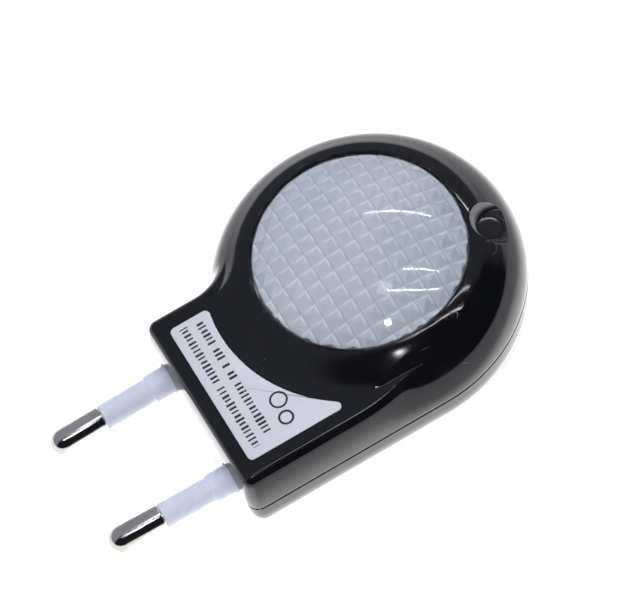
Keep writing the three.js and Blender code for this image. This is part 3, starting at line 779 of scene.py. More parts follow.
def block(low, high):
    """A plain block between two corners, used to join or cut."""
    low, high = np.array(low, dtype=float), np.array(high, dtype=float)
    ring = np.array([[low[0], low[1]], [high[0], low[1]], [high[0], high[1]], [low[0], high[1]]])
    pole = np.repeat(ring.mean(axis=0)[None], 4, 0)
    heights = np.array([low[2], low[2], high[2], high[2]])
    return surface("block", with_height(np.array([pole, ring, ring, pole]), heights[:, None]))


def rib(low_z, high_z):
    """The rib across the neck that holds the sleeves' flanges."""
    return block([-RIB_HALF, RIB_Y, low_z], [RIB_HALF, RIB_Y + RIB_THICK, high_z])


def cross_bore(side, radius, y_low, y_high):
    """A round passage along Y at one pin."""
    turn = np.linspace(0, 2 * np.pi, 64, endpoint=False)
    radii, ys = np.array([0, radius, radius, 0]), np.array([y_low, y_low, y_high, y_high])
    x = side * PIN_PITCH / 2 + radii[:, None] * np.cos(turn)
    z = radii[:, None] * np.sin(turn)
    return surface("passage", np.stack([x, np.broadcast_to(ys[:, None], x.shape), z], -1))


def cut_passages(shell):
    """Cuts both pins' passages through the end wall and, narrower, through the rib."""
    for side in (-1, 1):
        carve(shell, cross_bore(side, SLEEVE_PASSAGE_R, -2, 3))
        carve(shell, cross_bore(side, RIB_PASSAGE_R, 3.5, 8))


back = back_shell()
carve(back, rib(BACK_Z + FLOOR_SINK, SEAM_BOTTOM), "UNION")
for bearing in POST_BEARINGS:
    post = (HEAD_X + POST_RING * np.cos(bearing), HEAD_Y + POST_RING * np.sin(bearing))
    carve(back, rod(POST_R, BACK_Z + FLOOR_SINK, POST_TOP, post), "UNION")
for place in SCREW_PLACES:
    carve(back, rod(BOSS_FOOT_R, BACK_Z + 1, SEAM_BOTTOM, place), "UNION")
    carve(back, rod(SCREW_R + SCREW_CLEARANCE, BACK_Z - 1, 2, place))
    carve(back, rod(SCREW_HEAD_R + HEAD_CLEARANCE, BACK_Z - 1, BACK_Z + SCREW_SINK, place))
carve(front, rib(SEAM_TOP, RIB_TOP), "UNION")
for place in SCREW_PLACES:
    carve(front, rod(BOSS_R, SEAM_TOP, BOSS_TOP, place), "UNION")
    carve(front, rod(SCREW_R + SCREW_CLEARANCE, -3, BOSS_BORE_TOP, place))
cut_passages(front)
cut_passages(back)


def dress(piece, look, slot, *nodes, crease_degrees=32):
    """Gives a piece its finish and its body, and hides the nodes that it stands for. The slot is
    not used.
    """
    if look is not None:
        piece.data.materials.clear()
        piece.data.materials.append(look)
    smooth_shade(piece, crease_degrees)
    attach(piece, "root")
    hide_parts(*nodes)
    return piece


dress(front, None, "shell", "front_shell")
dress(back, satin_black, "shell", "back_shell")
print("shell faces:", len(front.data.polygons), len(back.data.polygons))

# %% [markdown]
# ## Sensor window
#
# A disc of smoked plastic sits in the scoop's floor and hides the sensor. It is a turned plug
# whose top follows the slope of the floor, with a softened edge.

# %% Smoked window


def smoked_finish():
    """Dark smoked plastic, glossy, with a trace of dust."""
    look, tree, shader, where = finish_named("smoked_window")
    dust = use_group(tree, DUST, where, Per_metre=900.0, Share=0.03)
    dusty = maths(tree, "MULTIPLY", dust, 0.4)
    feed(
        tree,
        shader,
        Base_Color=mixed(tree, dusty, (0.006, 0.005, 0.007), (0.2, 0.2, 0.21)),
        Roughness=maths(tree, "MULTIPLY_ADD", dust, 0.3, 0.12),
    )
    bumped(tree, shader, use_group(tree, RIPPLE, where), 0.01)
    return look


def sensor_window():
    """The window: a plug with a sloping top, softened at its rim and set just below the floor."""
    soft, set_down = 0.15, 0.03
    turn = np.linspace(0, np.pi / 2, 6)
    radii = np.concatenate([WINDOW_R - soft + soft * np.cos(turn), [WINDOW_R * 0.5, 0]])
    drop = np.concatenate([soft * (1 - np.sin(turn)), [0, 0]]) + set_down
    lower = polar_places(window_centre, [0, WINDOW_R])
    upper = polar_places(window_centre, radii)
    top = floor_height(upper) - drop[:, None]
    rows = [with_height(lower, WINDOW_BOTTOM), with_height(upper, top)]
    return surface("sensor_window_disc", np.concatenate(rows))


dress(sensor_window(), smoked_finish(), "smoked_window", "sensor_window")

# %% [markdown]
# ## Prismatic diffuser
#
# The diffuser is a clear dome, smooth outside, with rows of small square pyramids moulded into its
# inner face. Light is bent by the pyramids, so from outside every cell shows a bright edge and a
# darker one under a smooth gloss. Painting that on one surface would look flat from any other side.
# So the dome is a real clear solid, and a core with the pyramids on its top is cut out of it. The
# cut faces carry a milky finish, with a painted highlight and painted shade lines in each cell, and
# the outer ones are clear.

# %% Diffuser finishes

LENS_R = 15.6
LENS_CROWN = lens_high[2]
LENS_WALL = 1.6
FLANGE_R, FLANGE_TOP, FLANGE_BOTTOM = 16.9, 7.2, lens_low[2]
PRISM_PITCH = 2.38
PRISM_RISE = 0.6
RIM_THICK = 0.9
RIM_WALL = 0.3
CUP_CLEARANCE, CUP_CLEARANCE_TOP = 0.25, 8


def clear_finish():
    """Clear acrylic: full transmission, with smudges that only soften the gloss."""
    look, tree, shader, where = finish_named("clear_acrylic")
    smudges = use_group(tree, SMUDGES, where, Per_metre=110.0)
    feed(
        tree,
        shader,
        Base_Color=(0.97, 0.985, 1.0),
        Roughness=maths(tree, "MULTIPLY_ADD", smudges, 0.02, 0.02),
        Transmission_Weight=1.0,
        IOR=1.49,
    )
    return look


def cell_share(tree, place):
    """How far along its cell a place is, from 0 to 1."""
    return maths(tree, "FRACT", maths(tree, "DIVIDE", place, PRISM_PITCH))


def ridge(tree, share, width):
    """A soft line at every cell border along one axis."""
    to_border = maths(tree, "MINIMUM", share, opposite(tree, share))
    return opposite(tree, between(tree, to_border, width * 0.3, width))


def painted_highlight_angle(tree, share_x, share_y):
    """A painted highlight in one corner of each cell: two short legs along the low X and high Y
    borders. It is the light that a prism turns from the room towards whoever looks at it, painted
    as colour."""
    from_top = opposite(tree, share_y)
    to_leg = maths(tree, "MINIMUM", share_x, from_top)
    along = maths(tree, "MAXIMUM", share_x, from_top)
    leg = opposite(tree, between(tree, to_leg, 0.10, 0.26))
    reach = opposite(tree, between(tree, along, 0.45, 0.85))
    return maths(tree, "MULTIPLY", leg, reach)


def prism_finish():
    """Milky prism faces: blue grey, with a painted highlight, a pale lavender angle, in each cell,
    ridge lines that are darker along one family as painted shade and paler along the other as
    painted highlight, and a cloudy grain."""
    look, tree, shader, where = finish_named("milky_prisms")
    centre = (-HEAD_X * MM, -HEAD_Y * MM, 0)
    centred = add(tree, "ShaderNodeMapping", Vector=where, Location=centre).outputs["Vector"]
    x, y, _ = axes(tree, centred, 1 / MM)
    share_x, share_y = cell_share(tree, x), cell_share(tree, y)
    cloud = noise(tree, where, 700.0, 4.0, 0.6)
    drift = between(tree, noise(tree, where, 60.0, 2.0), 0.35, 0.65)
    shade = mixed(tree, drift, (0.63, 0.70, 0.77), (0.70, 0.74, 0.80))
    # glow is the colour of the painted highlight, the bright lavender angle in each cell.
    glow = mixed(tree, drift, (0.90, 0.88, 0.94), (0.93, 0.92, 0.96))
    face = mixed(tree, painted_highlight_angle(tree, share_x, share_y), shade, glow)
    # Lines at the cell borders: darker along one family as painted shade, paler along the other as
    # painted highlight.
    across = maths(tree, "MULTIPLY", ridge(tree, share_y, 0.07), 0.45)
    along = maths(tree, "MULTIPLY", ridge(tree, share_x, 0.05), 0.45)
    with_painted_shade_lines = mixed(tree, across, face, (0.36, 0.42, 0.50))
    with_painted_highlight_lines = mixed(tree, along, with_painted_shade_lines, (0.88, 0.90, 0.95))
    feed(
        tree,
        shader,
        Base_Color=mixed(tree, maths(tree, "MULTIPLY", cloud, 0.2), with_painted_highlight_lines, (0.84, 0.86, 0.92)),
        Roughness=maths(tree, "MULTIPLY_ADD", cloud, 0.2, 0.22),
    )
    bumped(tree, shader, cloud, 0.012)
    return look


# %% The dome and its prisms


def ball_cap(r, rim, rim_z, crown_z):
    """Height of a cap of a ball that passes through a rim and a crown."""
    rise = crown_z - rim_z
    ball = (rim * rim + rise * rise) / (2 * rise)
    return crown_z - ball + np.sqrt(ball * ball - np.minimum(r, rim) ** 2)


def lens_blank():
    """The solid dome with its flange, before the core is taken out."""
    r = np.linspace(0, LENS_R - 0.25, 50)
    dome = np.stack([r, ball_cap(r, LENS_R, OPENING_Z, LENS_CROWN)], -1)
    rim_z = ball_cap(LENS_R, LENS_R, OPENING_Z, LENS_CROWN)
    rim = rounded_profile(
        [
            [LENS_R - 1, ball_cap(LENS_R - 1, LENS_R, OPENING_Z, LENS_CROWN)],
            [LENS_R, rim_z],
            [LENS_R, FLANGE_TOP],
            [FLANGE_R, FLANGE_TOP],
            [FLANGE_R, FLANGE_BOTTOM],
            [0, FLANGE_BOTTOM],
        ],
        [0.2, 0, 0.1, 0.1],
        5,
    )[1:]
    keep = dome[:, 0] < rim[0, 0]
    return turned("diffuser", np.vstack([dome[keep], rim]), (HEAD_X, HEAD_Y), 160)


def prism_core():
    """The core as a closed mesh: a square field of pyramids standing on the inner dome, each
    with four faces from its tip to its corners, over straight sides and a flat foot."""
    cells = 14
    edge = (np.arange(cells + 1) - cells / 2) * PRISM_PITCH
    middle = (edge[1:] + edge[:-1]) / 2
    x, y = np.meshgrid(edge, edge, indexing="ij")
    tip_x, tip_y = np.meshgrid(middle, middle, indexing="ij")

    def inner_dome(x, y):
        return ball_cap(np.hypot(x, y), LENS_R, OPENING_Z - RIM_THICK, LENS_CROWN - LENS_WALL)

    corners = np.stack([x, y, inner_dome(x, y)], -1).reshape(-1, 3)
    tips = np.stack([tip_x, tip_y, inner_dome(tip_x, tip_y) + PRISM_RISE], -1).reshape(-1, 3)
    feet = corners * [1, 1, 0] + [0, 0, FLANGE_BOTTOM - 2]
    number = np.arange((cells + 1) ** 2).reshape(cells + 1, cells + 1)
    around = (number[:-1, :-1], number[1:, :-1], number[1:, 1:], number[:-1, 1:])
    a, b, c, d = (numbers.ravel() for numbers in around)
    tip = len(corners) + np.arange(cells * cells)
    foot = len(corners) + len(tips)
    upper = [np.stack([tip, *pair], -1) for pair in ((a, b), (b, c), (c, d), (d, a))]
    lower = [np.stack([c, b, a], -1) + foot, np.stack([a, d, c], -1) + foot]
    border = np.concatenate([number[:-1, 0], number[-1, :-1], number[:0:-1, -1], number[0, :0:-1]])
    after = np.roll(border, -1)
    sides = [
        np.stack([after, border, border + foot], -1),
        np.stack([after, border + foot, after + foot], -1),
    ]
    points = np.vstack([corners, tips, feet]) + [HEAD_X, HEAD_Y, 0]
    mesh = bpy.data.meshes.new("core")
    mesh.from_pydata(points * MM, [], np.concatenate(upper + lower + sides))
    mesh.update()
    core = bpy.data.objects.new("core", mesh)
    bpy.context.scene.collection.objects.link(core)
    return core


lens = lens_blank()
core = prism_core()
clear, milky = clear_finish(), prism_finish()
core.data.materials.append(milky)
collar = rod(LENS_R - RIM_WALL, FLANGE_BOTTOM - 3, LENS_CROWN + 3, (HEAD_X, HEAD_Y), 160)
collar.data.materials.append(milky)
carve(core, collar, "INTERSECT")
lens.data.materials.append(clear)
carve(lens, core)
carve(lens, rod(SCOOP_R + CUP_WALL + CUP_CLEARANCE, 0, CUP_CLEARANCE_TOP, scoop_centre, 96))
dress(lens, None, "diffuser", "diffuser_lens", crease_degrees=18)
lens.name = "diffuser_dome"
print("diffuser faces:", len(lens.data.polygons), [m.name for m in lens.data.materials])

# %% [markdown]
# ## Pins and sleeves
#
# Each pin is a nickel-plated rod with a round tip, turned on a lathe, and the sleeve is a pale
# plastic tube moulded over its root, with a thicker collar near the body. Both are profiles
# carried round the pin's axis. The two pins lean a little towards each other, so that they grip.

# %% Pin and sleeve finishes

PIN_R, PIN_CORE_R = 2.0, 1.4
PIN_TIP_Y, PIN_SLEEVE_Y, PIN_COLLAR_Y = -19.6, -11.2, -3.4
PIN_TOE_IN = 0.018
SLEEVE_R, SLEEVE_COLLAR_R, SLEEVE_BORE, SLEEVE_FLANGE_R = 1.9, 2.15, 1.55, 3.0


def nickel_finish():
    """Bright nickel: faint lathe rings along the pin, fine pitting, and duller handling marks."""
    look, tree, shader, where = finish_named("bright_nickel")
    along = add(tree, "ShaderNodeCombineXYZ", Y=axes(tree, where)[1]).outputs["Vector"]
    rings = noise(tree, along, 5200.0, 2.0)
    pits = noise(tree, where, 2400.0, 5.0, 0.7)
    smudges = use_group(tree, SMUDGES, where, Per_metre=160.0)
    scratches = use_group(tree, SCRATCHES, where, Per_metre=160.0, Width=0.006)
    dull = maths(tree, "MULTIPLY_ADD", smudges, 0.08, 0.1)
    feed(
        tree,
        shader,
        Base_Color=mixed(tree, smudges, (0.78, 0.76, 0.71), (0.66, 0.64, 0.58)),
        Roughness=maths(tree, "MULTIPLY_ADD", scratches, 0.2, dull),
        Metallic=1.0,
    )
    bumped(tree, shader, maths(tree, "MULTIPLY_ADD", rings, 0.25, pits), 0.016)
    return look


def sleeve_finish():
    """Pale nylon: a lavender white that lets some light through, slightly uneven."""
    look, tree, shader, where = finish_named("pale_sleeve")
    drift = noise(tree, where, 260.0, 3.0)
    feed(
        tree,
        shader,
        Base_Color=mixed(tree, drift, (0.54, 0.58, 0.71), (0.64, 0.67, 0.79)),
        Roughness=maths(tree, "MULTIPLY_ADD", drift, 0.12, 0.2),
        Subsurface_Weight=0.35,
        Subsurface_Radius=(1.2, 1.1, 1.4),
        Subsurface_Scale=MM,
    )
    bumped(tree, shader, noise(tree, where, 700.0, 2.0), 0.012)
    return look


# %% Pins and sleeves as turned profiles


def along_pin(name, profile, side, steps=72):
    """A profile of [radius, y] turned about the pin's axis, then leant in and set at its side."""
    r, y = np.array(profile, dtype=float).T
    turn = np.linspace(0, 2 * np.pi, steps, endpoint=False)
    x = r[:, None] * np.cos(turn)
    z = r[:, None] * np.sin(turn)
    y = np.broadcast_to(y[:, None], x.shape)
    lean = -side * PIN_TOE_IN
    leant_x = x * np.cos(lean) - y * np.sin(lean) + side * PIN_PITCH / 2
    leant_y = x * np.sin(lean) + y * np.cos(lean)
    return surface(name, np.stack([leant_x, leant_y, z], -1))


def pin_profile():
    """Round tip, bare end, a small step down at the sleeve, then the core and the tail."""
    turn = np.linspace(0, np.pi / 2, 18)
    tip = np.stack([PIN_R * np.sin(turn), PIN_TIP_Y + PIN_R * (1 - np.cos(turn))], -1)
    shank = rounded_profile(
        [
            [PIN_R, PIN_TIP_Y + PIN_R],
            [PIN_R, PIN_SLEEVE_Y],
            [PIN_CORE_R, PIN_SLEEVE_Y],
            [PIN_CORE_R, 6.3],
            [2.3, 6.3],
            [2.3, 7.3],
            [1.1, 7.3],
            [1.1, 10.0],
            [0, 10.0],
        ],
        [0.18, 0, 0, 0.1, 0.1, 0, 0.2],
        6,
    )
    return np.vstack([tip, shank[1:]])


def sleeve_profile():
    """A tube with a rounded mouth, an easing up to the collar, and the hidden flange."""
    return rounded_profile(
        [
            [SLEEVE_BORE, 4.2],
            [SLEEVE_BORE, PIN_SLEEVE_Y + 0.1],
            [SLEEVE_R, PIN_SLEEVE_Y + 0.1],
            [SLEEVE_R, PIN_COLLAR_Y],
            [SLEEVE_COLLAR_R, PIN_COLLAR_Y + 0.12],
            [SLEEVE_COLLAR_R + 0.04, 2.3],
            [SLEEVE_FLANGE_R, 2.3],
            [SLEEVE_FLANGE_R, 4.2],
            [SLEEVE_BORE, 4.2],
        ],
        [0, 0.12, 0.04, 0.06, 0, 0.2, 0.2],
        5,
    )


nickel, pale = nickel_finish(), sleeve_finish()
for side, word in ((-1, "left"), (1, "right")):
    pin = along_pin(f"plug_pin_{word}_turned", pin_profile(), side)
    dress(pin, nickel, "pin_metal", f"plug_pin_{word}")
    sleeve = along_pin(f"pin_sleeve_{word}_moulded", sleeve_profile(), side)
    dress(sleeve, pale, "sleeve", f"pin_sleeve_{word}")
print("pins from", PIN_TIP_Y, "mm, bare to", PIN_SLEEVE_Y, "mm")

# %% [markdown]
# ## Rating label
#
# A foil label lies on the flat neck. It is straight at the plug end and hollow towards the
# head, with rounded corners. Its print is only hinted at: plain bars in two rows and two blank
# marks, drawn by arithmetic on the label's own coordinates, so nothing can be read.

# %% Label finish

LABEL_LEFT, LABEL_RIGHT, LABEL_FOOT = -12.2, 12.4, 3.0
LABEL_HOLLOW, LABEL_ROUND = 23.1, 0.8
LABEL_LIFT, LABEL_THICK = 0.02, 0.12
BAR_PITCH = 0.72


def bar_row(tree, x, y, middle, start, end, seed):
    """A row of short bars: every cell has its own random width and height, and some are empty."""
    cells = maths(tree, "DIVIDE", x, BAR_PITCH)
    key = add(tree, "ShaderNodeCombineXYZ", X=maths(tree, "FLOOR", cells), Y=seed)
    luck = chance(tree, key.outputs["Vector"]).outputs
    width = maths(tree, "MULTIPLY_ADD", luck["Value"], 0.3, 0.3)
    drawn = maths(tree, "LESS_THAN", maths(tree, "FRACT", cells), width)
    present = maths(tree, "GREATER_THAN", luck["Value"], 0.14)
    off_middle = maths(tree, "ABSOLUTE", maths(tree, "SUBTRACT", y, middle))
    tall = maths(tree, "MULTIPLY_ADD", luck["Color"], 0.25, 0.45)
    in_row = maths(tree, "LESS_THAN", off_middle, tall)
    in_run = maths(tree, "COMPARE", x, (start + end) / 2, (end - start) / 2)
    shown = maths(tree, "MULTIPLY", drawn, present)
    return maths(tree, "MULTIPLY", shown, maths(tree, "MULTIPLY", in_row, in_run))


def ring_mark(tree, x, y, centre, radius, width):
    """A plain ring."""
    from_x = maths(tree, "SUBTRACT", x, centre[0])
    from_y = maths(tree, "SUBTRACT", y, centre[1])
    flat = add(tree, "ShaderNodeCombineXYZ", X=from_x, Y=from_y).outputs["Vector"]
    far = add(tree, "ShaderNodeVectorMath", _operation="LENGTH", Vector=flat).outputs["Value"]
    return maths(tree, "COMPARE", far, radius, width / 2)


BAR_ROWS = ((4.9, -11.3, 10.9, 3.0), (7.3, -10.9, 10.1, 8.0))
RING_MARKS = (((9.2, 10.6), 1.0, 0.34), ((6.2, 11.0), 1.2, 0.3))


def label_finish():
    """Silvered foil with dark bars; the print is duller than the foil."""
    look, tree, shader, where = finish_named("foil_label")
    x, y, _ = axes(tree, where, 1 / MM)
    marks = [bar_row(tree, x, y, *row) for row in BAR_ROWS]
    marks += [ring_mark(tree, x, y, *ring) for ring in RING_MARKS]
    ink = marks[0]
    for mark in marks[1:]:
        ink = maths(tree, "MAXIMUM", ink, mark)
    worn = maths(tree, "MULTIPLY", ink, between(tree, noise(tree, where, 1500.0, 3.0), 0.22, 0.36))
    foil = mixed(tree, noise(tree, where, 90.0, 3.0), (0.50, 0.51, 0.57), (0.60, 0.61, 0.68))
    feed(
        tree,
        shader,
        Base_Color=mixed(tree, worn, foil, (0.02, 0.02, 0.025)),
        Roughness=maths(tree, "MULTIPLY_ADD", worn, 0.2, 0.3),
    )
    bumped(tree, shader, maths(tree, "ADD", noise(tree, where, 500.0, 2.0), worn), 0.006)
    return look


# %% The label's outline and its thin slab


def hollow_y(x):
    """Where the label's hollow edge is at an x."""
    return HEAD_Y - np.sqrt(LABEL_HOLLOW**2 - (x - HEAD_X) ** 2)


def label_ring():
    """The label's outline: straight foot and sides, rounded corners, a hollow arc at the head."""
    left, right, foot = LABEL_LEFT, LABEL_RIGHT, LABEL_FOOT
    rim_left, rim_right = hollow_y(left), hollow_y(right)
    start = np.arctan2(rim_right - HEAD_Y, right - HEAD_X)
    end = np.arctan2(rim_left - HEAD_Y, left - HEAD_X)
    ease = 0.9 / LABEL_HOLLOW
    sweep = np.linspace(start - ease, end + ease, 60)
    arc = np.stack([np.cos(sweep), np.sin(sweep)], -1)
    hollow = LABEL_HOLLOW * arc + [HEAD_X, HEAD_Y]
    lower_right = rounded_corner([left, foot], [right, foot], [right, rim_right], LABEL_ROUND)
    upper_right = rounded_corner([right, foot], [right, rim_right], hollow[3], 0.7)
    upper_left = rounded_corner(hollow[-4], [left, rim_left], [left, foot], LABEL_ROUND)
    lower_left = rounded_corner([left, rim_left], [left, foot], [right, foot], LABEL_ROUND)
    return np.vstack([lower_right, upper_right, hollow[4:-4], upper_left, lower_left])


def rating_label():
    """The outline as a thin slab with a softened upper edge."""
    ring = label_ring()
    middle = np.array([(LABEL_LEFT + LABEL_RIGHT) / 2, 6.0])
    low = NECK_TOP + LABEL_LIFT
    high = low + LABEL_THICK
    shares = [0, 1, 1, 0.998, 0.99, 0.6, 0.3, 0]
    heights = [low, low, high - 0.04, high - 0.01, high, high, high, high]
    place = middle + (ring[None] - middle) * np.array(shares)[:, None, None]
    return surface("rating_label_foil", with_height(place, np.array(heights)[:, None]))


dress(rating_label(), label_finish(), "label", "rating_label")

# %% [markdown]
# ## Shell screws
#
# Three small pan-head screws hold the shells together, deep in their wells. A head is turned
# with a crowned top, and a cross recess is cut into it with two thin blocks.

# %% Screws

HEAD_THICK, HEAD_CROWN = 1.5, 0.12
SLOT_LONG, SLOT_WIDE, SLOT_DEPTH = 1.3, 0.3, 0.8


def screw_finish():
    """Zinc-plated steel with a soft grain."""
    look, tree, shader, where = finish_named("zinc_steel")
    grain = noise(tree, where, 1800.0, 4.0, 0.6)
    feed(
        tree,
        shader,
        Base_Color=mixed(tree, grain, (0.42, 0.43, 0.45), (0.6, 0.6, 0.61)),
        Roughness=maths(tree, "MULTIPLY_ADD", grain, 0.2, 0.25),
        Metallic=1.0,
    )
    bumped(tree, shader, grain, 0.02)
    return look


def shell_screw(number, place):
    """Crowned head with a cross recess, then the shank up to its point."""
    seat = BACK_Z + SCREW_SINK - 0.2
    face = seat - HEAD_THICK
    r = np.linspace(0, SCREW_HEAD_R - 0.3, 8)
    crown = np.stack([r, face + HEAD_CROWN * (r / SCREW_HEAD_R) ** 2], -1)
    rim = rounded_profile(
        [
            [SCREW_HEAD_R - 0.4, face + 0.1],
            [SCREW_HEAD_R, face + HEAD_CROWN],
            [SCREW_HEAD_R, seat],
            [SCREW_R, seat],
        ],
        [0.25, 0.08],
        5,
    )[1:]
    shank = [[SCREW_R, seat], [SCREW_R, 2.8], [0.4, 3.6], [0, 3.6]]
    screw = turned(f"shell_screw_{number}_turned", np.vstack([crown, rim, shank[1:]]), place, 48)
    for half in ([SLOT_LONG, SLOT_WIDE], [SLOT_WIDE, SLOT_LONG]):
        low, high = np.array(place) - half, np.array(place) + half
        carve(screw, block([*low, face - 1], [*high, face + SLOT_DEPTH]))
    return screw


zinc = screw_finish()
for number, place in enumerate(SCREW_PLACES, start=1):
    dress(shell_screw(number, place), zinc, "screw_steel", f"shell_screw_{number}")

# %% [markdown]
# ## The circuit inside
#
# The board and its parts sit behind the diffuser and keep their frame meshes. Each still gets a
# finish of its own kind: laminate with a glass weave, clear or tinted epoxy, dipped ceramic,
# printed sleeve, and wire insulation. One function makes them, from two colours and a grain.

# %% Inner finishes


def laminate_finish():
    """Board laminate: the weave of its glass cloth shows faintly through the resin."""
    look, tree, shader, where = finish_named("board_laminate")
    warp, weft = (
        add(tree, "ShaderNodeTexWave", Vector=where, Scale=900.0, _bands_direction=way)
        for way in "XY"
    )
    weave = maths(tree, "MULTIPLY", warp.outputs["Fac"], weft.outputs["Fac"])
    feed(
        tree,
        shader,
        Base_Color=mixed(tree, weave, (0.60, 0.56, 0.42), (0.74, 0.70, 0.56)),
        Roughness=maths(tree, "MULTIPLY_ADD", weave, 0.15, 0.45),
    )
    bumped(tree, shader, weave, 0.01)
    return look


def part_finish(name, first, second, roughness, per_metre, depth):
    """Two close colours mixed by a grain, with the grain in the gloss and in the relief."""
    look, tree, shader, where = finish_named(name)
    grain = noise(tree, where, per_metre, 3.0)
    feed(
        tree,
        shader,
        Base_Color=mixed(tree, between(tree, grain, 0.3, 0.7), first, second),
        Roughness=maths(tree, "MULTIPLY_ADD", grain, 0.15, roughness),
    )
    bumped(tree, shader, grain, depth)
    return look


GRAINED = {  # first colour, second colour, roughness, grains per metre, relief
    "led_epoxy": ((0.80, 0.82, 0.80), (0.90, 0.91, 0.88), 0.12, 300.0, 0.005),
    "sensor_epoxy": ((0.02, 0.022, 0.03), (0.04, 0.042, 0.05), 0.15, 400.0, 0.005),
    "capacitor_red": ((0.32, 0.035, 0.02), (0.42, 0.06, 0.035), 0.3, 350.0, 0.02),
    "capacitor_sleeve": ((0.012, 0.02, 0.06), (0.02, 0.03, 0.08), 0.35, 500.0, 0.005),
    "moulded_black": ((0.008, 0.008, 0.01), (0.018, 0.018, 0.02), 0.45, 1200.0, 0.01),
    "resistor_lacquer": ((0.42, 0.29, 0.14), (0.52, 0.37, 0.19), 0.4, 700.0, 0.01),
    "wire_red": ((0.33, 0.02, 0.018), (0.42, 0.035, 0.03), 0.4, 600.0, 0.008),
    "wire_black": ((0.01, 0.01, 0.011), (0.02, 0.02, 0.021), 0.4, 600.0, 0.008),
}
grained = {name: part_finish(name, *numbers) for name, numbers in GRAINED.items()}

INNER_FINISHES = {
    "circuit_board": laminate_finish(),
    "light_sensor": grained["sensor_epoxy"],
    "film_capacitor": grained["capacitor_red"],
    "electrolytic_capacitor": grained["capacitor_sleeve"],
    "transistor": grained["moulded_black"],
    "lead_wire_left": grained["wire_red"],
    "lead_wire_right": grained["wire_black"],
    **{f"led_{i}": grained["led_epoxy"] for i in range(1, 5)},
    **{f"rectifier_diode_{i}": grained["moulded_black"] for i in range(1, 5)},
    **{
        f"{kind}_resistor": grained["resistor_lacquer"]
        for kind in ("fusible", "bleed", "led", "divider")
    },
}
for node, look in INNER_FINISHES.items():
    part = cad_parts[node]
    part.data.materials.clear()
    part.data.materials.append(look)
print("inner pieces finished:", len(INNER_FINISHES))

# %% [markdown]
# ## Camera
#
# The lamp lies on its back and is seen from above its right side, from about half a metre, with
# a long lens, so its edges stay nearly parallel. The camera's three axes are given directly,
# because the picture is also rolled, and turning three angles by hand would hide that.

# %% Camera

VIEW_FORWARD = Vector((-0.4715, 0.1007, -0.8761)).normalized()
VIEW_RIGHT = Vector((0.4804, 0.8624, -0.1594)).normalized()
CAMERA_PLACE = Vector((258.41, -33.98, 497.10)) * MM
camera = bpy.data.objects.new("camera", bpy.data.cameras.new("camera"))
view_up = VIEW_RIGHT.cross(VIEW_FORWARD)
camera.matrix_world = Matrix.Translation(CAMERA_PLACE) @ Matrix(
    (VIEW_RIGHT, view_up, -VIEW_FORWARD)
).transposed().to_4x4()
camera.data.sensor_width = 36.0
camera.data.lens = 228.7
bpy.context.scene.collection.objects.link(camera)
bpy.context.scene.camera = camera

# %% [markdown]
# ## Floor and light
#
# Gloss black only shows what it mirrors, so the light is planned as a set of things to mirror.
# The floor is bright under the body and the room is white low down: they draw the pale bands
# on the sides and round the far rim. Overhead, the far half of the room is a bluish grey and
# the near half is nearly black, which keeps the top black. Two broad soft lights lift the
# label and the diffuser without being mirrored, and small lamps make the highlights.

# %% Floor

FLOOR_GLOW = 0.7
MIRRORED_BASE, MIRRORED_GLOW = 0.15, 1.55
BRIGHT_REACH = (32 * MM, 55 * MM)
PAST_SIDE = (17 * MM, 29 * MM)
BESIDE_BODY = (-6 * MM, 0.0)
FLOOR_DROP = 0.02
FLOOR_HALF = 1500.0


def floor_finish():
    """A pale floor that is bright of itself, so that shadows on it stay faint. In the gloss it is
    brightest under the body, with a painted shadow alongside the body past its +X side, and it
    can't be seen from below, so the back can be."""
    look, tree, shader, where = finish_named("pale_floor")
    middle = (0, BODY_LENGTH / 2 * MM, BACK_Z * MM)
    away = add(tree, "ShaderNodeVectorMath", _operation="SUBTRACT", i0=where, i1=middle)
    reach = add(tree, "ShaderNodeVectorMath", _operation="LENGTH", Vector=away.outputs["Vector"])
    near = opposite(tree, between(tree, reach.outputs["Value"], *BRIGHT_REACH))
    x, y, _ = axes(tree, where)
    # Painted shadow: in the gloss, the glow is taken away alongside the body, past its +X side.
    past_side, beside_body = between(tree, x, *PAST_SIDE), between(tree, y, *BESIDE_BODY)
    outside_painted_shadow = opposite(tree, maths(tree, "MULTIPLY", past_side, beside_body))
    bright = maths(tree, "MULTIPLY", near, outside_painted_shadow)
    in_mirror = maths(tree, "MULTIPLY_ADD", bright, MIRRORED_GLOW, MIRRORED_BASE)
    mirrored = tree.nodes.new("ShaderNodeLightPath").outputs["Is Glossy Ray"]
    glow = add(tree, "ShaderNodeMix", i0=mirrored, i2=FLOOR_GLOW, i3=in_mirror)
    behind = tree.nodes.new("ShaderNodeNewGeometry").outputs["Backfacing"]
    grain = noise(tree, where, 60.0, 2.0)
    feed(
        tree,
        shader,
        Base_Color=mixed(tree, grain, (0.86, 0.86, 0.86), (0.9, 0.9, 0.9)),
        Roughness=0.9,
        Specular_IOR_Level=0.0,
        Emission_Color=(1, 1, 1),
        Emission_Strength=glow.outputs[0],
        Alpha=opposite(tree, behind),
    )
    return look


floor_mesh = bpy.data.meshes.new("floor")
corners = np.array([[-1, -1], [1, -1], [1, 1], [-1, 1]]) * FLOOR_HALF
corners = np.column_stack([corners, np.full(4, BACK_Z - FLOOR_DROP)])
floor_mesh.from_pydata(corners * MM, [], [[0, 1, 2, 3]])
floor = bpy.data.objects.new("floor", floor_mesh)
floor_mesh.materials.append(floor_finish())
bpy.context.scene.collection.objects.link(floor)

# %% Room

WHITE_UP_TO = 0.04
FAR_CEILING = (0.27, 0.28, 0.34)
NEAR_SIDE = (0.010, 0.012, 0.018)


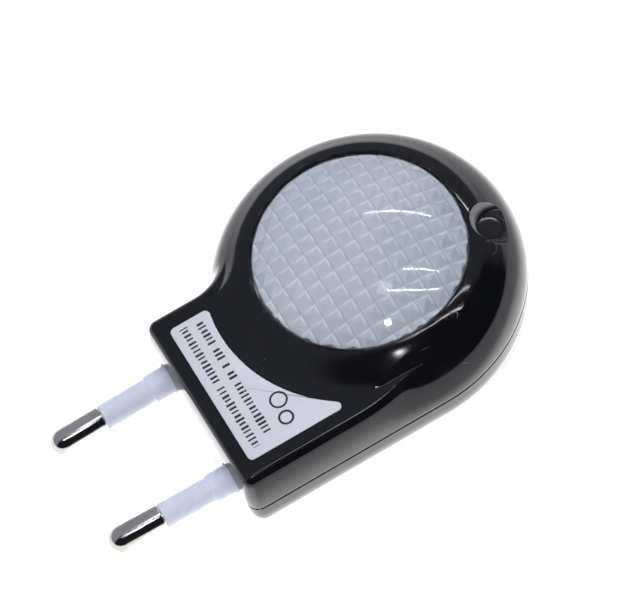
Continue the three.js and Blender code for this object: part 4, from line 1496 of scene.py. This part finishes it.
def room():
    """What the gloss mirrors, by direction: white low down, grey overhead on the far side, and
    black on the near side, where whoever looks at the lamp stands. Straight on it is white."""
    world = bpy.data.worlds.new("room")
    bpy.context.scene.world = world
    world.use_nodes = True
    tree = world.node_tree
    where = tree.nodes.new("ShaderNodeTexCoord").outputs["Generated"]
    x, _, z = axes(tree, where)
    high = between(tree, z, WHITE_UP_TO, WHITE_UP_TO + 0.06)
    near_side = between(tree, x, 0.0, 0.25)
    far_walls = mixed(tree, high, (0.95, 0.96, 0.97), FAR_CEILING)
    walls = mixed(tree, near_side, far_walls, NEAR_SIDE)
    seen = tree.nodes.new("ShaderNodeLightPath").outputs["Is Camera Ray"]
    backdrop = mixed(tree, seen, walls, (1, 1, 1))
    tree.links.new(backdrop, tree.nodes["Background"].inputs["Color"])


room()

# %% Lamps


def panel(name, place, size, watts, mirrored, colour=(1, 1, 1)):
    """A square area lamp aimed at the middle of the head."""
    lamp = bpy.data.lights.new(name, "AREA")
    lamp.size = size * MM
    lamp.energy = watts
    lamp.color = colour
    thing = bpy.data.objects.new(name, lamp)
    thing.location = Vector(place) * MM
    aim = Vector((HEAD_X, HEAD_Y, 0)) * MM - thing.location
    thing.rotation_euler = aim.to_track_quat("-Z", "Y").to_euler()
    thing.visible_glossy = mirrored
    bpy.context.scene.collection.objects.link(thing)
    return thing


panel("soft_overhead", (-350, 350, 900), 700, 8.0, mirrored=False)
panel("soft_side", (500, -500, 500), 500, 4.0, mirrored=False)
panel("ceiling_strip", (90, 130, 1000), 120, 0.2, mirrored=True, colour=(0.85, 0.93, 1.0))

# %% Lamps that the dome mirrors

BEAD, BEAD_GLOW = 6.0, 60.0
BEAD_ROWS = {  # beads, then three places on the dome
    "beads_far": (24, (-9.6, 35.1), (-7.5, 39.3), (-4.9, 42.9)),
    "beads_high": (13, (0.9, 35.5), (1.9, 37.6), (3.2, 39.5)),
    "beads_near": (19, (2.5, 32.0), (4.0, 35.1), (5.3, 38.1)),
}


def mirrored_from(place):
    """Where a lamp must be for the dome to mirror it at a place: the view ray, turned about the
    dome's normal there, followed out for half a metre."""
    rise = LENS_CROWN - OPENING_Z
    ball = (LENS_R**2 + rise**2) / (2 * rise)
    centre = Vector((HEAD_X, HEAD_Y, LENS_CROWN - ball))
    r = np.hypot(place[0] - HEAD_X, place[1] - HEAD_Y)
    point = Vector((*place, float(ball_cap(r, LENS_R, OPENING_Z, LENS_CROWN))))
    normal = (point - centre).normalized()
    ray = (point - CAMERA_PLACE / MM).normalized()
    return point + ray.reflect(normal) * 500.0


def bead_strip(name, count, places):
    """A row of small bright beads, so far off that the dome mirrors them as a dotted arc. Each
    bead is one square that faces the dome, and a curve through three places sets the row."""
    share = np.linspace(0, 1, count)[:, None]
    first, middle, last = (np.array(mirrored_from(place)) for place in places)
    bend = 2 * middle - (first + last) / 2
    centre = (1 - share) ** 2 * first + 2 * share * (1 - share) * bend + share**2 * last
    to_dome = np.array([HEAD_X, HEAD_Y, LENS_CROWN]) - centre
    to_dome /= np.linalg.norm(to_dome, axis=1, keepdims=True)
    wide = np.cross(to_dome, [0, 0, 1])
    wide /= np.linalg.norm(wide, axis=1, keepdims=True)
    tall = np.cross(wide, to_dome)
    sides = ((-1, -1), (1, -1), (1, 1), (-1, 1))
    corners = [centre + BEAD / 2 * (a * wide + b * tall) for a, b in sides]
    points = np.stack(corners, axis=1).reshape(-1, 3)
    mesh = bpy.data.meshes.new(name)
    mesh.from_pydata(points * MM, [], np.arange(4 * count).reshape(-1, 4))
    look = bpy.data.materials.new(name)
    look.use_nodes = True
    shader = look.node_tree.nodes["Principled BSDF"]
    feed(
        look.node_tree,
        shader,
        Base_Color=(0, 0, 0),
        Emission_Color=(0.93, 0.97, 1),
        Emission_Strength=BEAD_GLOW,
    )
    mesh.materials.append(look)
    strip = bpy.data.objects.new(name, mesh)
    strip.visible_camera = False
    strip.visible_diffuse = False
    strip.visible_shadow = False
    bpy.context.scene.collection.objects.link(strip)


panel("small_lamp", mirrored_from((6.0, 29.6)), 30, 0.08, mirrored=True)
for name, (count, *places) in BEAD_ROWS.items():
    bead_strip(name, count, places)

# %% [markdown]
# ## Colour management
#
# The render's colours use the Standard view transform, with no look.

# %% Colour management

bpy.context.scene.view_settings.view_transform = "Standard"
bpy.context.scene.view_settings.look = "None"
